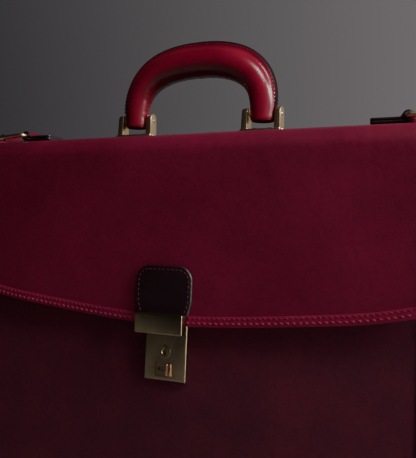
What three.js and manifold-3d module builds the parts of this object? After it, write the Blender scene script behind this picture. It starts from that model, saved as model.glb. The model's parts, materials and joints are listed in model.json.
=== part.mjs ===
// A leather flap briefcase: a slim two-compartment case under a crowned lid, with a front flap,
// a brass tongue lock, a padded handle on two brass brackets and a strap ring at each end.
// Millimetres. X runs along the case, +Y to the back, +Z up. The origin is on the ground under the middle foot.
import * as THREE from "three";
import { mergeVertices } from "three/addons/utils/BufferGeometryUtils.js";
import Module from "manifold-3d";

const wasm = await Module();
wasm.setup();

// ---- Driving dimensions ----
const GAP = 0.3; // clearance kept between pieces that touch on the real case
const LEATHER = 3.2; // lid, flap and back leather
const TOP_Z = 323; // highest line of the lid leather
const CROWN_R = 110; // radius of the lid's gentle crown, front to back
const CORNER_R = 18; // radius of the lid's front and rear corners
const FLAP_FACE_Y = -45.5; // outer face of the flap
const BACK_FACE_Y = 43; // outer face of the back panel
const PANEL_FACE_Y = -35.5; // outer face of the front panel
const PANEL_T = 3; // front panel and bottom panel leather
const PANEL_TOP_Z = 296;
const BODY_HALF = 208; // half the length of the case body
const LID_HALF = 213; // half the length of the lid and flap
const FLOOR_Z = 5; // underside of the bottom panel, held up by the feet
const FOLD_DEG = 55; // tilt of the surface where the lid folds, measured from level
const FOLD_GAP_DEG = 0.6;

const FLAP_EDGE_Z = 158.4; // lowest point of the flap, at its middle
const FLAP_RISE = 8.9; // how fast the flap's edge rises away from the middle
const FLAP_RISE_WIDTH = 75;
const FLAP_END_RISE = 5; // how far the edge lifts more in its last stretch
const FLAP_END_START = 150;
const FLAP_CORNER_R = 13;

const HANDLE_REACH = 63; // middle of the case to the middle of a bracket
const BASE_T = 2; // bracket base plate
const EAR_T = 5.6;
const EAR_GAP = 24.6; // between the two ears of a bracket
const EAR_HEIGHT = 21; // this and the handle's heights are from the underside of the base plate
const PIN_HEIGHT = 14.8;
const PIN_R = 1.7;
const GRIP_R = 11.8;
const GRIP_SWELL = 2.1; // extra radius in the middle, where the padding is fuller
const GRIP_FLATNESS = 0.9; // thickness front to back as a share of the round section
const GRIP_TOP = 64.6; // highest point of the grip's centreline
const GRIP_SHOULDER = 21; // where the straight legs end and the arch begins
const GRIP_END = 8.8; // bottom of the legs
const ARCH_POWER = 2.35; // superellipse exponent of the arch
const FLANGE_REACH = 18.4; // centreline to the top of the sewn flange
const FLANGE_FADE = 62; // length at each end over which the flange sinks into the grip
const FLANGE_W = 7;

const LOCK_HALF = 19.8;
const LOCK_Z = [111.5, 167];
const LOCK_DEPTH = 6;
const LOCK_WALL = 2.2;
const LOCK_SIDE = 1.3;
const CYLINDER_Z = 135.8;
const CYLINDER_R = 3.6;
const SLIDE_Z = 121; // middle of the thumb slide
const SLIDE_TRAVEL = 10;
const STRIKER_Z = 154.5;

const HASP_HALF = 22.4;
const HASP_Z = [151.3, 167.8];
const HASP_Y = [-55.5, -49.3]; // front and back of the hasp bar
const TAB_T = 3.2;
const TAB_HALF = 26.6;
const TAB_TOP_Z = 207;

const RING_BAR_X = 187; // the ring's inner bar
const RING_REACH = 30; // from the inner bar to the outer bar
const RING_R = 2.2;
const RING_HALF_Y = 16;
const RING_BAR_HEIGHT = 5.4; // inner bar's centre above the lid
const RING_DROP = 2; // how far the outer bar lies below the inner one
const CHAPE_END_X = 157.5;
const STRAP_HALF_Y = 11.5;
const STRAP_DROP = 52; // length of the side strap below the ring
const STRAP_PLY = 2.2; // one ply of the looped straps

// ---- Materials ----
const finish = (color, roughness, metalness) =>
  new THREE.MeshStandardMaterial({ color, roughness, metalness });
const redLeather = () => finish(0x7a1020, 0.45, 0);
const darkLeather = () => finish(0x1f0f14, 0.4, 0);
const lining = () => finish(0x5b3a2c, 0.8, 0);
const board = () => finish(0x6b5a48, 0.9, 0);
const brass = () => finish(0xb08d4a, 0.3, 1);
const steel = () => finish(0x8c8c90, 0.35, 1);

// ---- Helpers ----
const AXIS = {
  x: new THREE.Vector3(1, 0, 0),
  y: new THREE.Vector3(0, 1, 0),
  z: new THREE.Vector3(0, 0, 1),
};
// Turns an extrusion so that its outline lies in the named plane.
const ALONG_X = new THREE.Matrix4().makeBasis(AXIS.y, AXIS.z, AXIS.x);
const ALONG_Y = new THREE.Matrix4().makeBasis(AXIS.z, AXIS.x, AXIS.y);
const v2 = (a, b) => new THREE.Vector2(a, b);
const radians = THREE.MathUtils.degToRad;

function extrude(shape, depth, curveSegments = 8) {
  return new THREE.ExtrudeGeometry(shape, { depth, curveSegments, bevelEnabled: false });
}

// An outline of [y, z] points or a shape in the YZ plane, running from x0 to x1.
function prismX(outline, x0, x1, curveSegments) {
  const shape = outline instanceof THREE.Shape ? outline : new THREE.Shape(outline);
  return extrude(shape, x1 - x0, curveSegments).applyMatrix4(ALONG_X).translate(x0, 0, 0);
}

// An outline of [z, x] points or a shape in the ZX plane, running from y0 to y1.
function prismY(outline, y0, y1, curveSegments) {
  const shape = outline instanceof THREE.Shape ? outline : new THREE.Shape(outline);
  return extrude(shape, y1 - y0, curveSegments).applyMatrix4(ALONG_Y).translate(0, y0, 0);
}

function prismZ(outline, z0, z1, curveSegments) {
  const shape = outline instanceof THREE.Shape ? outline : new THREE.Shape(outline);
  return extrude(shape, z1 - z0, curveSegments).translate(0, 0, z0);
}

function box([x0, x1], [y0, y1], [z0, z1]) {
  const g = new THREE.BoxGeometry(x1 - x0, y1 - y0, z1 - z0);
  return g.translate((x0 + x1) / 2, (y0 + y1) / 2, (z0 + z1) / 2);
}

// A cylinder about an axis through (a, b, c), which is the middle of its length.
function rod(axis, r, length, [a, b, c], segments = 16) {
  const g = new THREE.CylinderGeometry(r, r, length, segments);
  if (axis === "x") g.rotateZ(Math.PI / 2);
  if (axis === "z") g.rotateX(Math.PI / 2);
  return g.translate(a, b, c);
}

// A turned piece about Z; the profile is [radius, z] points from the axis back to the axis.
function turned(profile, segments = 20) {
  const g = new THREE.LatheGeometry(profile.map(([r, z]) => v2(r, z)), segments);
  return g.rotateX(Math.PI / 2);
}

function solid(geometry) {
  const plain = (geometry.index ? geometry.toNonIndexed() : geometry.clone());
  plain.deleteAttribute("normal");
  plain.deleteAttribute("uv");
  const merged = mergeVertices(plain, 1e-3);
  return new wasm.Manifold(
    new wasm.Mesh({
      numProp: 3,
      vertProperties: merged.attributes.position.array,
      triVerts: new Uint32Array(merged.index.array),
    }),
  );
}

function geometryOf(manifold) {
  const mesh = manifold.getMesh();
  return new THREE.BufferGeometry()
    .setAttribute("position", new THREE.BufferAttribute(mesh.vertProperties, 3))
    .setIndex(new THREE.BufferAttribute(mesh.triVerts, 1));
}

const cut = (geometry, ...tools) =>
  geometryOf(tools.reduce((s, t) => s.subtract(solid(t)), solid(geometry)));
const join = (...pieces) => geometryOf(pieces.map(solid).reduce((s, t) => s.add(t)));
const common = (a, b) => geometryOf(solid(a).intersect(solid(b)));

function piece(parent, name, geometry, material) {
  const mesh = new THREE.Mesh(geometry, material);
  mesh.name = name;
  parent.add(mesh);
  return mesh;
}

// ---- The shell of lid, flap and back ----
// One line over the case: front corner, crown and rear corner, each an arc. A place on it is named by
// the tilt of the surface there, -90 on the flap's face, 0 on top and 90 on the back.
const CROWN_CENTRE = v2(0, TOP_Z - CROWN_R);
function cornerCentre(faceY) {
  const y = faceY + (faceY < 0 ? CORNER_R : -CORNER_R);
  return v2(y, CROWN_CENTRE.y + Math.sqrt((CROWN_R - CORNER_R) ** 2 - y * y));
}
const FRONT_CENTRE = cornerCentre(FLAP_FACE_Y);
const REAR_CENTRE = cornerCentre(BACK_FACE_Y);
const crownTilt = (centre) => THREE.MathUtils.radToDeg(Math.asin(centre.x / (CROWN_R - CORNER_R)));

function shellPoint(tilt, inset) {
  let centre = CROWN_CENTRE;
  let radius = CROWN_R;
  if (tilt < crownTilt(FRONT_CENTRE)) [centre, radius] = [FRONT_CENTRE, CORNER_R];
  if (tilt > crownTilt(REAR_CENTRE)) [centre, radius] = [REAR_CENTRE, CORNER_R];
  const a = radians(tilt);
  return v2(centre.x + (radius - inset) * Math.sin(a), centre.y + (radius - inset) * Math.cos(a));
}

// Points along the shell from one tilt to another, at an inset from the outer face.
function shellLine(from, to, inset, steps) {
  return Array.from({ length: steps + 1 }, (_, i) => shellPoint(from + ((to - from) * i) / steps, inset));
}

function shellBand(from, to, outer, inner, steps) {
  return [...shellLine(from, to, outer, steps), ...shellLine(to, from, inner, steps)];
}

// ---- Case body ----
const caseGroup = new THREE.Group();
const BOARD_T = 2.5;
const PANEL_BASE_Z = FLOOR_Z + PANEL_T + GAP;
const INSIDE_Z = PANEL_BASE_Z + BOARD_T + GAP;
const BACK_INNER_Y = BACK_FACE_Y - LEATHER;
const PANEL_INNER_Y = PANEL_FACE_Y + PANEL_T;
const DIVIDER_Y = [2.2, 4.2];
const FEET = [[0, 0], [-176, -23], [176, -23], [-176, 31], [176, 31]];
const LOCK_RIVETS = [[-14.5, 161], [12, 115]];
const FOOT_SHANK_R = 1.8;
const RIVET_R = 1.4;

const footHoles = (z) => FEET.map(([x, y]) => rod("z", FOOT_SHANK_R + GAP, 12, [x, y, z], 12));
const rivetHoles = (y) => LOCK_RIVETS.map(([x, z]) => rod("y", RIVET_R + GAP, 12, [x, y, z], 12));

function roundedPlate(half, z0, z1, r) {
  const shape = new THREE.Shape();
  shape.moveTo(z1, -half);
  shape.lineTo(z1, half);
  shape.lineTo(z0 + r, half);
  shape.absarc(z0 + r, half - r, r, Math.PI / 2, Math.PI, false);
  shape.absarc(z0 + r, -half + r, r, Math.PI, 1.5 * Math.PI, false);
  shape.closePath();
  return shape;
}

piece(
  caseGroup,
  "front_panel",
  cut(
    prismY(roundedPlate(BODY_HALF, PANEL_BASE_Z, PANEL_TOP_Z, 8), PANEL_FACE_Y, PANEL_INNER_Y),
    ...rivetHoles(PANEL_FACE_Y),
  ),
  redLeather(),
);

const backOutline = [
  ...shellLine(FOLD_DEG + FOLD_GAP_DEG, 90, 0, 4),
  v2(BACK_FACE_Y, PANEL_BASE_Z),
  v2(BACK_INNER_Y, PANEL_BASE_Z),
  ...shellLine(90, FOLD_DEG + FOLD_GAP_DEG, LEATHER, 4),
];
piece(caseGroup, "back_panel", prismX(backOutline, -BODY_HALF, BODY_HALF), redLeather());
piece(
  caseGroup,
  "bottom_panel",
  cut(
    box([-BODY_HALF, BODY_HALF], [PANEL_FACE_Y, BACK_FACE_Y], [FLOOR_Z, FLOOR_Z + PANEL_T]),
    ...footHoles(FLOOR_Z),
  ),
  redLeather(),
);
piece(
  caseGroup,
  "base_board",
  cut(
    box(
      [-BODY_HALF + 4, BODY_HALF - 4],
      [PANEL_INNER_Y + GAP, BACK_INNER_Y - GAP],
      [PANEL_BASE_Z, PANEL_BASE_Z + BOARD_T],
    ),
    ...footHoles(PANEL_BASE_Z),
  ),
  board(),
);

// A gusset side is one inward pleat between two panels.
const GUSSET_EDGE_X = BODY_HALF - 2;
const PLEAT_DEPTH = 22;
const GUSSET_SHIFT = 3; // along X, which makes the sloping walls 1.8 mm thick
function gussetSide(side, y0, y1) {
  const edge = side * GUSSET_EDGE_X;
  const apex = side * (GUSSET_EDGE_X - PLEAT_DEPTH);
  const shift = -side * GUSSET_SHIFT;
  const middle = (y0 + y1) / 2;
  const outline = [
    v2(edge, y0),
    v2(apex, middle),
    v2(edge, y1),
    v2(edge + shift, y1),
    v2(apex + shift, middle),
    v2(edge + shift, y0),
  ];
  return prismZ(outline, INSIDE_Z, PANEL_TOP_Z - 2);
}
const GUSSETS = {
  front: [PANEL_INNER_Y + GAP, DIVIDER_Y[0] - GAP],
  rear: [DIVIDER_Y[1] + GAP, BACK_INNER_Y - GAP],
};
for (const [place, [y0, y1]] of Object.entries(GUSSETS)) {
  piece(caseGroup, `gusset_${place}_left`, gussetSide(-1, y0, y1), redLeather());
  piece(caseGroup, `gusset_${place}_right`, gussetSide(1, y0, y1), redLeather());
}
piece(
  caseGroup,
  "divider",
  box([-GUSSET_EDGE_X, GUSSET_EDGE_X], DIVIDER_Y, [INSIDE_Z, 276]),
  lining(),
);

const POCKET_HALF = 120;
const POCKET_Z = [60, 210];
const POCKET_WALL = 1.5;
const POCKET_DEPTH = 6.6;
const pocketY = BACK_INNER_Y - GAP - POCKET_DEPTH;
piece(
  caseGroup,
  "slip_pocket",
  cut(
    box([-POCKET_HALF, POCKET_HALF], [pocketY, pocketY + POCKET_DEPTH], POCKET_Z),
    box(
      [-POCKET_HALF + POCKET_WALL, POCKET_HALF - POCKET_WALL],
      [pocketY + POCKET_WALL, pocketY + POCKET_DEPTH + 1],
      [POCKET_Z[0] + POCKET_WALL, POCKET_Z[1] + 1],
    ),
  ),
  lining(),
);

const FOOT_R = 7;
const footProfile = [
  [0, 0],
  [4.2, 0],
  [6.2, 0.9],
  [FOOT_R, 2.8],
  [FOOT_R, FLOOR_Z - GAP],
  [FOOT_SHANK_R, FLOOR_Z - GAP],
  [FOOT_SHANK_R, INSIDE_Z - GAP],
  [0, INSIDE_Z - GAP],
];
FEET.forEach(([x, y], i) => {
  piece(caseGroup, `foot_${i + 1}`, turned(footProfile), brass()).position.set(x, y, 0);
});

// ---- Lock, in its own frame: the front panel's face is y = 0 and the case heights are kept ----
const lockGroup = new THREE.Group();
lockGroup.position.y = PANEL_FACE_Y;
const lockFront = -LOCK_DEPTH;
const wallInner = lockFront + LOCK_WALL;
const lockBack = -GAP;
const THUMB = { x: [1.6, 7.6], z: [SLIDE_Z - 5.4, SLIDE_Z + 5.4] };
const RECESS_DEPTH = 1;
const STEM_HALF = 1;
const stemX = (THUMB.x[0] + THUMB.x[1]) / 2;
const lockCavity = box(
  [-LOCK_HALF + LOCK_SIDE, LOCK_HALF - LOCK_SIDE],
  [wallInner, 1],
  [LOCK_Z[0] + LOCK_SIDE, LOCK_Z[1] - LOCK_SIDE],
);
const escutcheon = rod("y", 5.2, 1.6, [0, lockFront, CYLINDER_Z], 24);
piece(
  lockGroup,
  "lock_case",
  cut(
    join(box([-LOCK_HALF, LOCK_HALF], [lockFront, lockBack], LOCK_Z), escutcheon),
    lockCavity,
    rod("y", CYLINDER_R + GAP, 12, [0, lockFront, CYLINDER_Z], 24),
    box([-3, 3], [lockFront - 1, wallInner + 1], [STRIKER_Z - 3.5, STRIKER_Z + 7]),
    box(
      [THUMB.x[0] - SLIDE_TRAVEL - 0.4, THUMB.x[1] + 0.4],
      [lockFront - 1, lockFront + RECESS_DEPTH],
      [THUMB.z[0] - 0.4, THUMB.z[1] + 0.4],
    ),
    box(
      [stemX - STEM_HALF - SLIDE_TRAVEL - 0.4, stemX + STEM_HALF + 0.4],
      [lockFront - 1, wallInner + 1],
      [SLIDE_Z - 1.5, SLIDE_Z + 1.5],
    ),
  ),
  brass(),
);
const PLATE_T = 1.2;
const plateY = PANEL_T + GAP;
piece(
  lockGroup,
  "lock_back_plate",
  cut(box([-17, 17], [plateY, plateY + PLATE_T], [112.5, 166]), ...rivetHoles(plateY)),
  steel(),
);
LOCK_RIVETS.forEach(([x, z], i) => {
  const head = plateY + PLATE_T + GAP;
  const rivet = join(
    rod("y", RIVET_R, head - wallInner + 0.5, [x, (head + wallInner + GAP) / 2 + 0.25, z], 12),
    rod("y", 2.6, 1.2, [x, head + 0.6, z], 16),
  );
  piece(lockGroup, `lock_rivet_${i + 1}`, rivet, brass());
});

const keyhole = [
  rod("y", 1.25, 3, [0, lockFront - 0.6, CYLINDER_Z + 0.8], 12),
  box([-0.55, 0.55], [lockFront - 2, lockFront + 0.9], [CYLINDER_Z - 2.4, CYLINDER_Z + 0.8]),
];
const cylinderSpan = [lockFront - 1.2, wallInner + 0.6];
piece(
  lockGroup,
  "key_cylinder",
  cut(
    rod(
      "y",
      CYLINDER_R,
      cylinderSpan[1] - cylinderSpan[0],
      [0, (cylinderSpan[0] + cylinderSpan[1]) / 2, CYLINDER_Z],
      24,
    ),
    ...keyhole,
  ),
  brass(),
);
const CAM_T = 1;
piece(
  lockGroup,
  "lock_cam",
  box([-1.6, 1.6], [cylinderSpan[1] + GAP, cylinderSpan[1] + GAP + CAM_T], [CYLINDER_Z - 6.5, CYLINDER_Z + 2.4]),
  steel(),
);

// The thumb slide and the bolt behind it. The bolt's finger passes through the striker when the slide goes left.
const boltY = [wallInner + 0.3, wallInner + 1.3];
const FINGER_TIP_X = 2.6;
piece(
  lockGroup,
  "slide_thumb",
  join(
    box(THUMB.x, [lockFront - 2.4, lockFront + RECESS_DEPTH - GAP], THUMB.z),
    box(
      [stemX - STEM_HALF, stemX + STEM_HALF],
      [lockFront, boltY[0] - 0.1],
      [SLIDE_Z - STEM_HALF, SLIDE_Z + STEM_HALF],
    ),
  ),
  brass(),
);
piece(
  lockGroup,
  "latch_bolt",
  join(
    box([15, 17.5], boltY, [SLIDE_Z - 1.6, STRIKER_Z + 1]),
    box([stemX - 1.5, 15.5], boltY, [SLIDE_Z - 1.6, SLIDE_Z + 1.6]),
    box([FINGER_TIP_X, 15.5], boltY, [STRIKER_Z - 0.8, STRIKER_Z + 0.8]),
  ),
  steel(),
);
const springLine = (offset) =>
  [0, 1, 2, 3, 4, 5, 6].map((i) => v2(126 + i * 4, -16.5 + 1.2 * Math.sin((i * Math.PI) / 2) + offset));
piece(
  lockGroup,
  "detent_spring",
  prismY([...springLine(0), ...springLine(0.6).reverse()], wallInner + 0.5, wallInner + 2.5),
  steel(),
);
caseGroup.add(lockGroup);

// ---- Lid ----
const lidGroup = new THREE.Group();
const BRACKET_Z = TOP_Z + GAP;
const SCREW_OFFSET = 7;
const SCREW_R = 1.6;
const SCREWS = [-1, 1].flatMap((side) =>
  [-SCREW_OFFSET, SCREW_OFFSET].map((d) => side * HANDLE_REACH + d),
);
const screwHoles = () => SCREWS.map((x) => rod("z", SCREW_R + GAP, 30, [x, 0, TOP_Z], 12));
const lidOutline = shellBand(-FOLD_DEG + FOLD_GAP_DEG, FOLD_DEG - FOLD_GAP_DEG, 0, LEATHER, 16);
piece(lidGroup, "lid_top", cut(prismX(lidOutline, -LID_HALF, LID_HALF), ...screwHoles()), redLeather());
const boardOutline = shellBand(-14, 14, LEATHER + GAP, LEATHER + GAP + BOARD_T, 6);
piece(lidGroup, "lid_board", cut(prismX(boardOutline, -202, 202), ...screwHoles()), board());

const backingTop = TOP_Z - LEATHER - BOARD_T - 3 * GAP;
const earShape = new THREE.Shape();
earShape.moveTo(-5.8, 0);
earShape.lineTo(5.8, 0);
earShape.lineTo(4.7, EAR_HEIGHT - 4.7);
earShape.absarc(0, EAR_HEIGHT - 4.7, 4.7, 0, Math.PI, false);
earShape.closePath();
const EAR_TAPER = 0.2;

function ear(x) {
  const g = prismX(earShape, -EAR_T / 2, EAR_T / 2, 8);
  const p = g.attributes.position;
  for (let i = 0; i < p.count; i++) p.setX(i, p.getX(i) * (1 - (EAR_TAPER * p.getZ(i)) / EAR_HEIGHT));
  return g.translate(x, 0, 0);
}

function bracket() {
  const earX = (EAR_GAP + EAR_T) / 2;
  return cut(
    join(box([-21, 21], [-6.8, 6.8], [0, BASE_T]), ear(-earX), ear(earX)),
    rod("x", PIN_R + GAP, 60, [0, 0, PIN_HEIGHT], 16),
    rod("z", SCREW_R + GAP, 8, [-SCREW_OFFSET, 0, 0], 12),
    rod("z", SCREW_R + GAP, 8, [SCREW_OFFSET, 0, 0], 12),
  );
}
const PIN_LENGTH = EAR_GAP + 2 * EAR_T + 0.8;
for (const [place, side] of [["left", -1], ["right", 1]]) {
  const x = side * HANDLE_REACH;
  piece(lidGroup, `handle_bracket_${place}`, bracket(), brass()).position.set(x, 0, BRACKET_Z);
  piece(lidGroup, `pivot_pin_${place}`, rod("x", PIN_R, PIN_LENGTH, [0, 0, 0]), brass()).position.set(
    x,
    0,
    BRACKET_Z + PIN_HEIGHT,
  );
  const backing = cut(
    box([-17, 17], [-8, 8], [backingTop - 1.4, backingTop]),
    rod("z", SCREW_R + GAP, 8, [-SCREW_OFFSET, 0, backingTop], 12),
    rod("z", SCREW_R + GAP, 8, [SCREW_OFFSET, 0, backingTop], 12),
  );
  piece(lidGroup, `backing_plate_${place}`, backing, steel()).position.x = x;
}
const screwHead = BRACKET_Z + BASE_T + 0.2;
const screwProfile = [
  [0, backingTop - 3],
  [SCREW_R, backingTop - 3],
  [SCREW_R, screwHead],
  [3, screwHead],
  [2.4, screwHead + 1.2],
  [0, screwHead + 1.2],
];
SCREWS.forEach((x, i) => {
  piece(lidGroup, `bracket_screw_${i + 1}`, turned(screwProfile, 16), brass()).position.x = x;
});

// ---- Strap rings, their chapes and the side straps, drawn for the right end and turned for the left ----
const LOOP_R = RING_R + 0.4;
const ringHeight = TOP_Z + RING_BAR_HEIGHT;
const outerBar = v2(RING_BAR_X + RING_REACH, ringHeight - RING_DROP);

// A strap folded round a bar: two plies that meet at the far end, in the XZ plane.
function loopedStrap(reach, thickness) {
  const outer = LOOP_R + STRAP_PLY;
  const shape = new THREE.Shape();
  shape.moveTo(-reach, -outer);
  shape.lineTo(0, -outer);
  shape.absarc(0, 0, outer, -Math.PI / 2, Math.PI / 2, false);
  shape.lineTo(-reach * 0.36, -outer + thickness + 0.4);
  shape.lineTo(-reach, -outer + thickness);
  shape.closePath();
  shape.holes.push(new THREE.Path().absarc(0, 0, LOOP_R, 0, 2 * Math.PI, true));
  return shape;
}
const chapeGeometry = () =>
  extrude(loopedStrap(RING_BAR_X - CHAPE_END_X, 2 * STRAP_PLY), 2 * STRAP_HALF_Y, 10)
    .rotateX(Math.PI / 2)
    .translate(0, STRAP_HALF_Y, 0);

function hangingStrap() {
  const outer = LOOP_R + STRAP_PLY;
  const shape = new THREE.Shape();
  shape.moveTo(-STRAP_PLY, -STRAP_DROP);
  shape.lineTo(STRAP_PLY, -STRAP_DROP);
  shape.lineTo(STRAP_PLY, -outer * 2.4);
  shape.lineTo(outer, 0);
  shape.absarc(0, 0, outer, 0, Math.PI, false);
  shape.lineTo(-STRAP_PLY, -outer * 2.4);
  shape.closePath();
  shape.holes.push(new THREE.Path().absarc(0, 0, LOOP_R, 0, 2 * Math.PI, true));
  return extrude(shape, 2 * STRAP_HALF_Y, 10).rotateX(Math.PI / 2).translate(0, STRAP_HALF_Y, 0);
}

// A rectangular wire ring lying in the XY plane, from its inner bar at x = 0 to its outer bar.
// Its stations lie on the four round corners, so the straight bars span from one corner to the next.
const WIRE_SIDES = 10;
const BEND = 4;
const BEND_STEPS = 4;
function wireRing() {
  const reach = Math.hypot(RING_REACH, RING_DROP);
  const corners = [[0, RING_HALF_Y], [0, -RING_HALF_Y], [reach, -RING_HALF_Y], [reach, RING_HALF_Y]].map(
    ([x, y]) => new THREE.Vector3(x, y, 0),
  );
  const bends = corners.map((at, i) => {
    const toward = (other) => at.clone().add(other.clone().sub(at).setLength(BEND));
    return new THREE.QuadraticBezierCurve3(toward(corners[(i + 3) % 4]), at, toward(corners[(i + 1) % 4]));
  });
  const rings = bends.flatMap((bend) =>
    Array.from({ length: BEND_STEPS + 1 }, (_, k) => wireSection(bend, k / BEND_STEPS)),
  );
  return skin(rings, true);
}

function wireSection(curve, u) {
  const at = curve.getPoint(u);
  const along = curve.getTangent(u);
  const outward = new THREE.Vector3(along.y, -along.x, 0).normalize();
  return Array.from({ length: WIRE_SIDES }, (_, k) => {
    const a = (2 * Math.PI * k) / WIRE_SIDES;
    return at
      .clone()
      .addScaledVector(outward, RING_R * Math.cos(a))
      .addScaledVector(AXIS.z, RING_R * Math.sin(a));
  });
}

// A closed surface over equal rings of points; the ends are closed by flat caps unless the rings meet.
function skin(rings, meet) {
  const sides = rings[0].length;
  const flat = rings.flat().flatMap((p) => [p.x, p.y, p.z]);
  const index = [];
  const spans = meet ? rings.length : rings.length - 1;
  for (let i = 0; i < spans; i++) {
    const a = i * sides;
    const b = ((i + 1) % rings.length) * sides;
    for (let k = 0; k < sides; k++) {
      const n = (k + 1) % sides;
      index.push(a + k, a + n, b + k, a + n, b + n, b + k);
    }
  }
  if (!meet) {
    for (const [start, flip] of [[0, true], [(rings.length - 1) * sides, false]]) {
      const centre = new THREE.Vector3();
      for (let k = 0; k < sides; k++) centre.add(rings[start / sides][k]);
      centre.divideScalar(sides);
      const hub = flat.length / 3;
      flat.push(centre.x, centre.y, centre.z);
      for (let k = 0; k < sides; k++) {
        const pair = [start + k, start + ((k + 1) % sides)];
        index.push(hub, ...(flip ? pair.reverse() : pair));
      }
    }
  }
  const g = new THREE.BufferGeometry().setIndex(index);
  g.setAttribute("position", new THREE.Float32BufferAttribute(flat, 3));
  return solid(g).volume() < 0 ? turnedInsideOut(g) : g;
}

function turnedInsideOut(g) {
  const i = g.index.array;
  for (let k = 0; k < i.length; k += 3) [i[k + 1], i[k + 2]] = [i[k + 2], i[k + 1]];
  return g;
}

const STUD_Z = -STRAP_DROP + 12; // press stud, below the outer bar
const STUD_R = 6;
const ringTilt = Math.atan2(RING_DROP, RING_REACH);
const endGroups = { left: new THREE.Group(), right: new THREE.Group() };
endGroups.left.rotation.z = Math.PI;
for (const [place, group] of Object.entries(endGroups)) {
  const chape = piece(group, `ring_chape_${place}`, chapeGeometry(), redLeather());
  chape.position.set(RING_BAR_X, 0, ringHeight);
  const ring = piece(group, `strap_ring_${place}`, wireRing(), brass());
  ring.position.set(RING_BAR_X, 0, ringHeight);
  ring.rotation.y = ringTilt;
  const strap = piece(group, `side_strap_${place}`, hangingStrap(), redLeather());
  strap.position.set(outerBar.x, 0, outerBar.y);
  const capFace = outerBar.x + STRAP_PLY + GAP;
  const cap = turned([[0, 0], [STUD_R, 0], [STUD_R, 0.9], [STUD_R - 1.6, 2.2], [0, 2.6]]);
  cap.rotateY(Math.PI / 2);
  piece(group, `stud_cap_${place}`, cap, brass()).position.set(capFace, 0, outerBar.y + STUD_Z);
  lidGroup.add(group);
}

// Each stud's post stands on the divider's end and reaches to the strap.
const postStart = GUSSET_EDGE_X + GAP;
const postLength = outerBar.x - STRAP_PLY - GAP - postStart;
for (const [place, side] of [["left", -1], ["right", 1]]) {
  const post = turned([[0, 0], [4.5, 0], [4.5, 2], [2.6, 3], [2.6, postLength], [0, postLength]]);
  post.rotateY((side * Math.PI) / 2);
  piece(caseGroup, `stud_post_${place}`, post, brass()).position.set(
    side * postStart,
    (DIVIDER_Y[0] + DIVIDER_Y[1]) / 2,
    outerBar.y + STUD_Z,
  );
}

// ---- Flap ----
const flapGroup = new THREE.Group();
function flapEdge(x) {
  const end = Math.max(0, (Math.abs(x) - FLAP_END_START) / (LID_HALF - FLAP_END_START));
  return FLAP_EDGE_Z + FLAP_RISE * (Math.hypot(1, x / FLAP_RISE_WIDTH) - 1) + FLAP_END_RISE * end * end;
}

// The flap seen from the front, as [z, x] points: a shallow curve below, with a round corner at each end.
function flapFront(inset) {
  const half = LID_HALF - inset;
  const r = FLAP_CORNER_R - inset;
  const cornerX = half - r;
  const cornerZ = flapEdge(cornerX) + inset + r;
  const steps = 26;
  const below = Array.from({ length: steps + 1 }, (_, i) => {
    const x = -cornerX + (2 * cornerX * i) / steps;
    return v2(flapEdge(x) + inset, x);
  });
  const corner = (side) =>
    [1, 2, 3, 4, 5, 6].map((i) => {
      const a = (i * Math.PI) / 12;
      return v2(cornerZ - r * Math.cos(a), side * (cornerX + r * Math.sin(a)));
    });
  return [v2(TOP_Z, -half), ...corner(-1).reverse(), ...below, ...corner(1), v2(TOP_Z, half)];
}

function flapSheet(outer, inner, bottom) {
  const outline = [
    v2(FLAP_FACE_Y + outer, bottom),
    ...shellLine(-90, -FOLD_DEG - FOLD_GAP_DEG, outer, 5),
    ...shellLine(-FOLD_DEG - FOLD_GAP_DEG, -90, inner, 5),
    v2(FLAP_FACE_Y + inner, bottom),
  ];
  return prismX(outline, -LID_HALF, LID_HALF);
}
const LINING_T = 1;
const flapInner = LEATHER - LINING_T - 0.1;
const flapSlab = (inset) => prismY(flapFront(inset), FLAP_FACE_Y - 5, 0);
piece(
  flapGroup,
  "flap_leather",
  common(flapSheet(0, flapInner, FLAP_EDGE_Z - 5), flapSlab(0)),
  redLeather(),
);
piece(
  flapGroup,
  "flap_lining",
  common(flapSheet(flapInner + 0.1, LEATHER, FLAP_EDGE_Z - 5), flapSlab(1)),
  lining(),
);

// The closure tab lies flat on the flap and carries the hasp bar on its lower end.
const TAB_LOW_Z = HASP_Z[0] + 7;
const tabFace = FLAP_FACE_Y - GAP - TAB_T;
const TAB_CORNER_R = 10;
const TAB_NECK = 23.4;
function tabFront() {
  const shape = new THREE.Shape();
  shape.moveTo(TAB_LOW_Z - 1, -TAB_NECK);
  shape.lineTo(HASP_Z[1] + 1, -TAB_NECK);
  shape.quadraticCurveTo(HASP_Z[1] + 4, -TAB_HALF, HASP_Z[1] + 15, -TAB_HALF);
  shape.lineTo(TAB_TOP_Z - TAB_CORNER_R, -TAB_HALF);
  shape.absarc(TAB_TOP_Z - TAB_CORNER_R, -TAB_HALF + TAB_CORNER_R, TAB_CORNER_R, 1.5 * Math.PI, 2 * Math.PI, false);
  shape.absarc(TAB_TOP_Z - TAB_CORNER_R, TAB_HALF - TAB_CORNER_R, TAB_CORNER_R, 0, Math.PI / 2, false);
  shape.lineTo(HASP_Z[1] + 15, TAB_HALF);
  shape.quadraticCurveTo(HASP_Z[1] + 4, TAB_HALF, HASP_Z[1] + 1, TAB_NECK);
  shape.lineTo(TAB_LOW_Z - 1, TAB_NECK);
  shape.closePath();
  return shape;
}
piece(
  flapGroup,
  "closure_tab",
  prismY(tabFront(), tabFace, tabFace + TAB_T, 6),
  darkLeather(),
);

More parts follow.
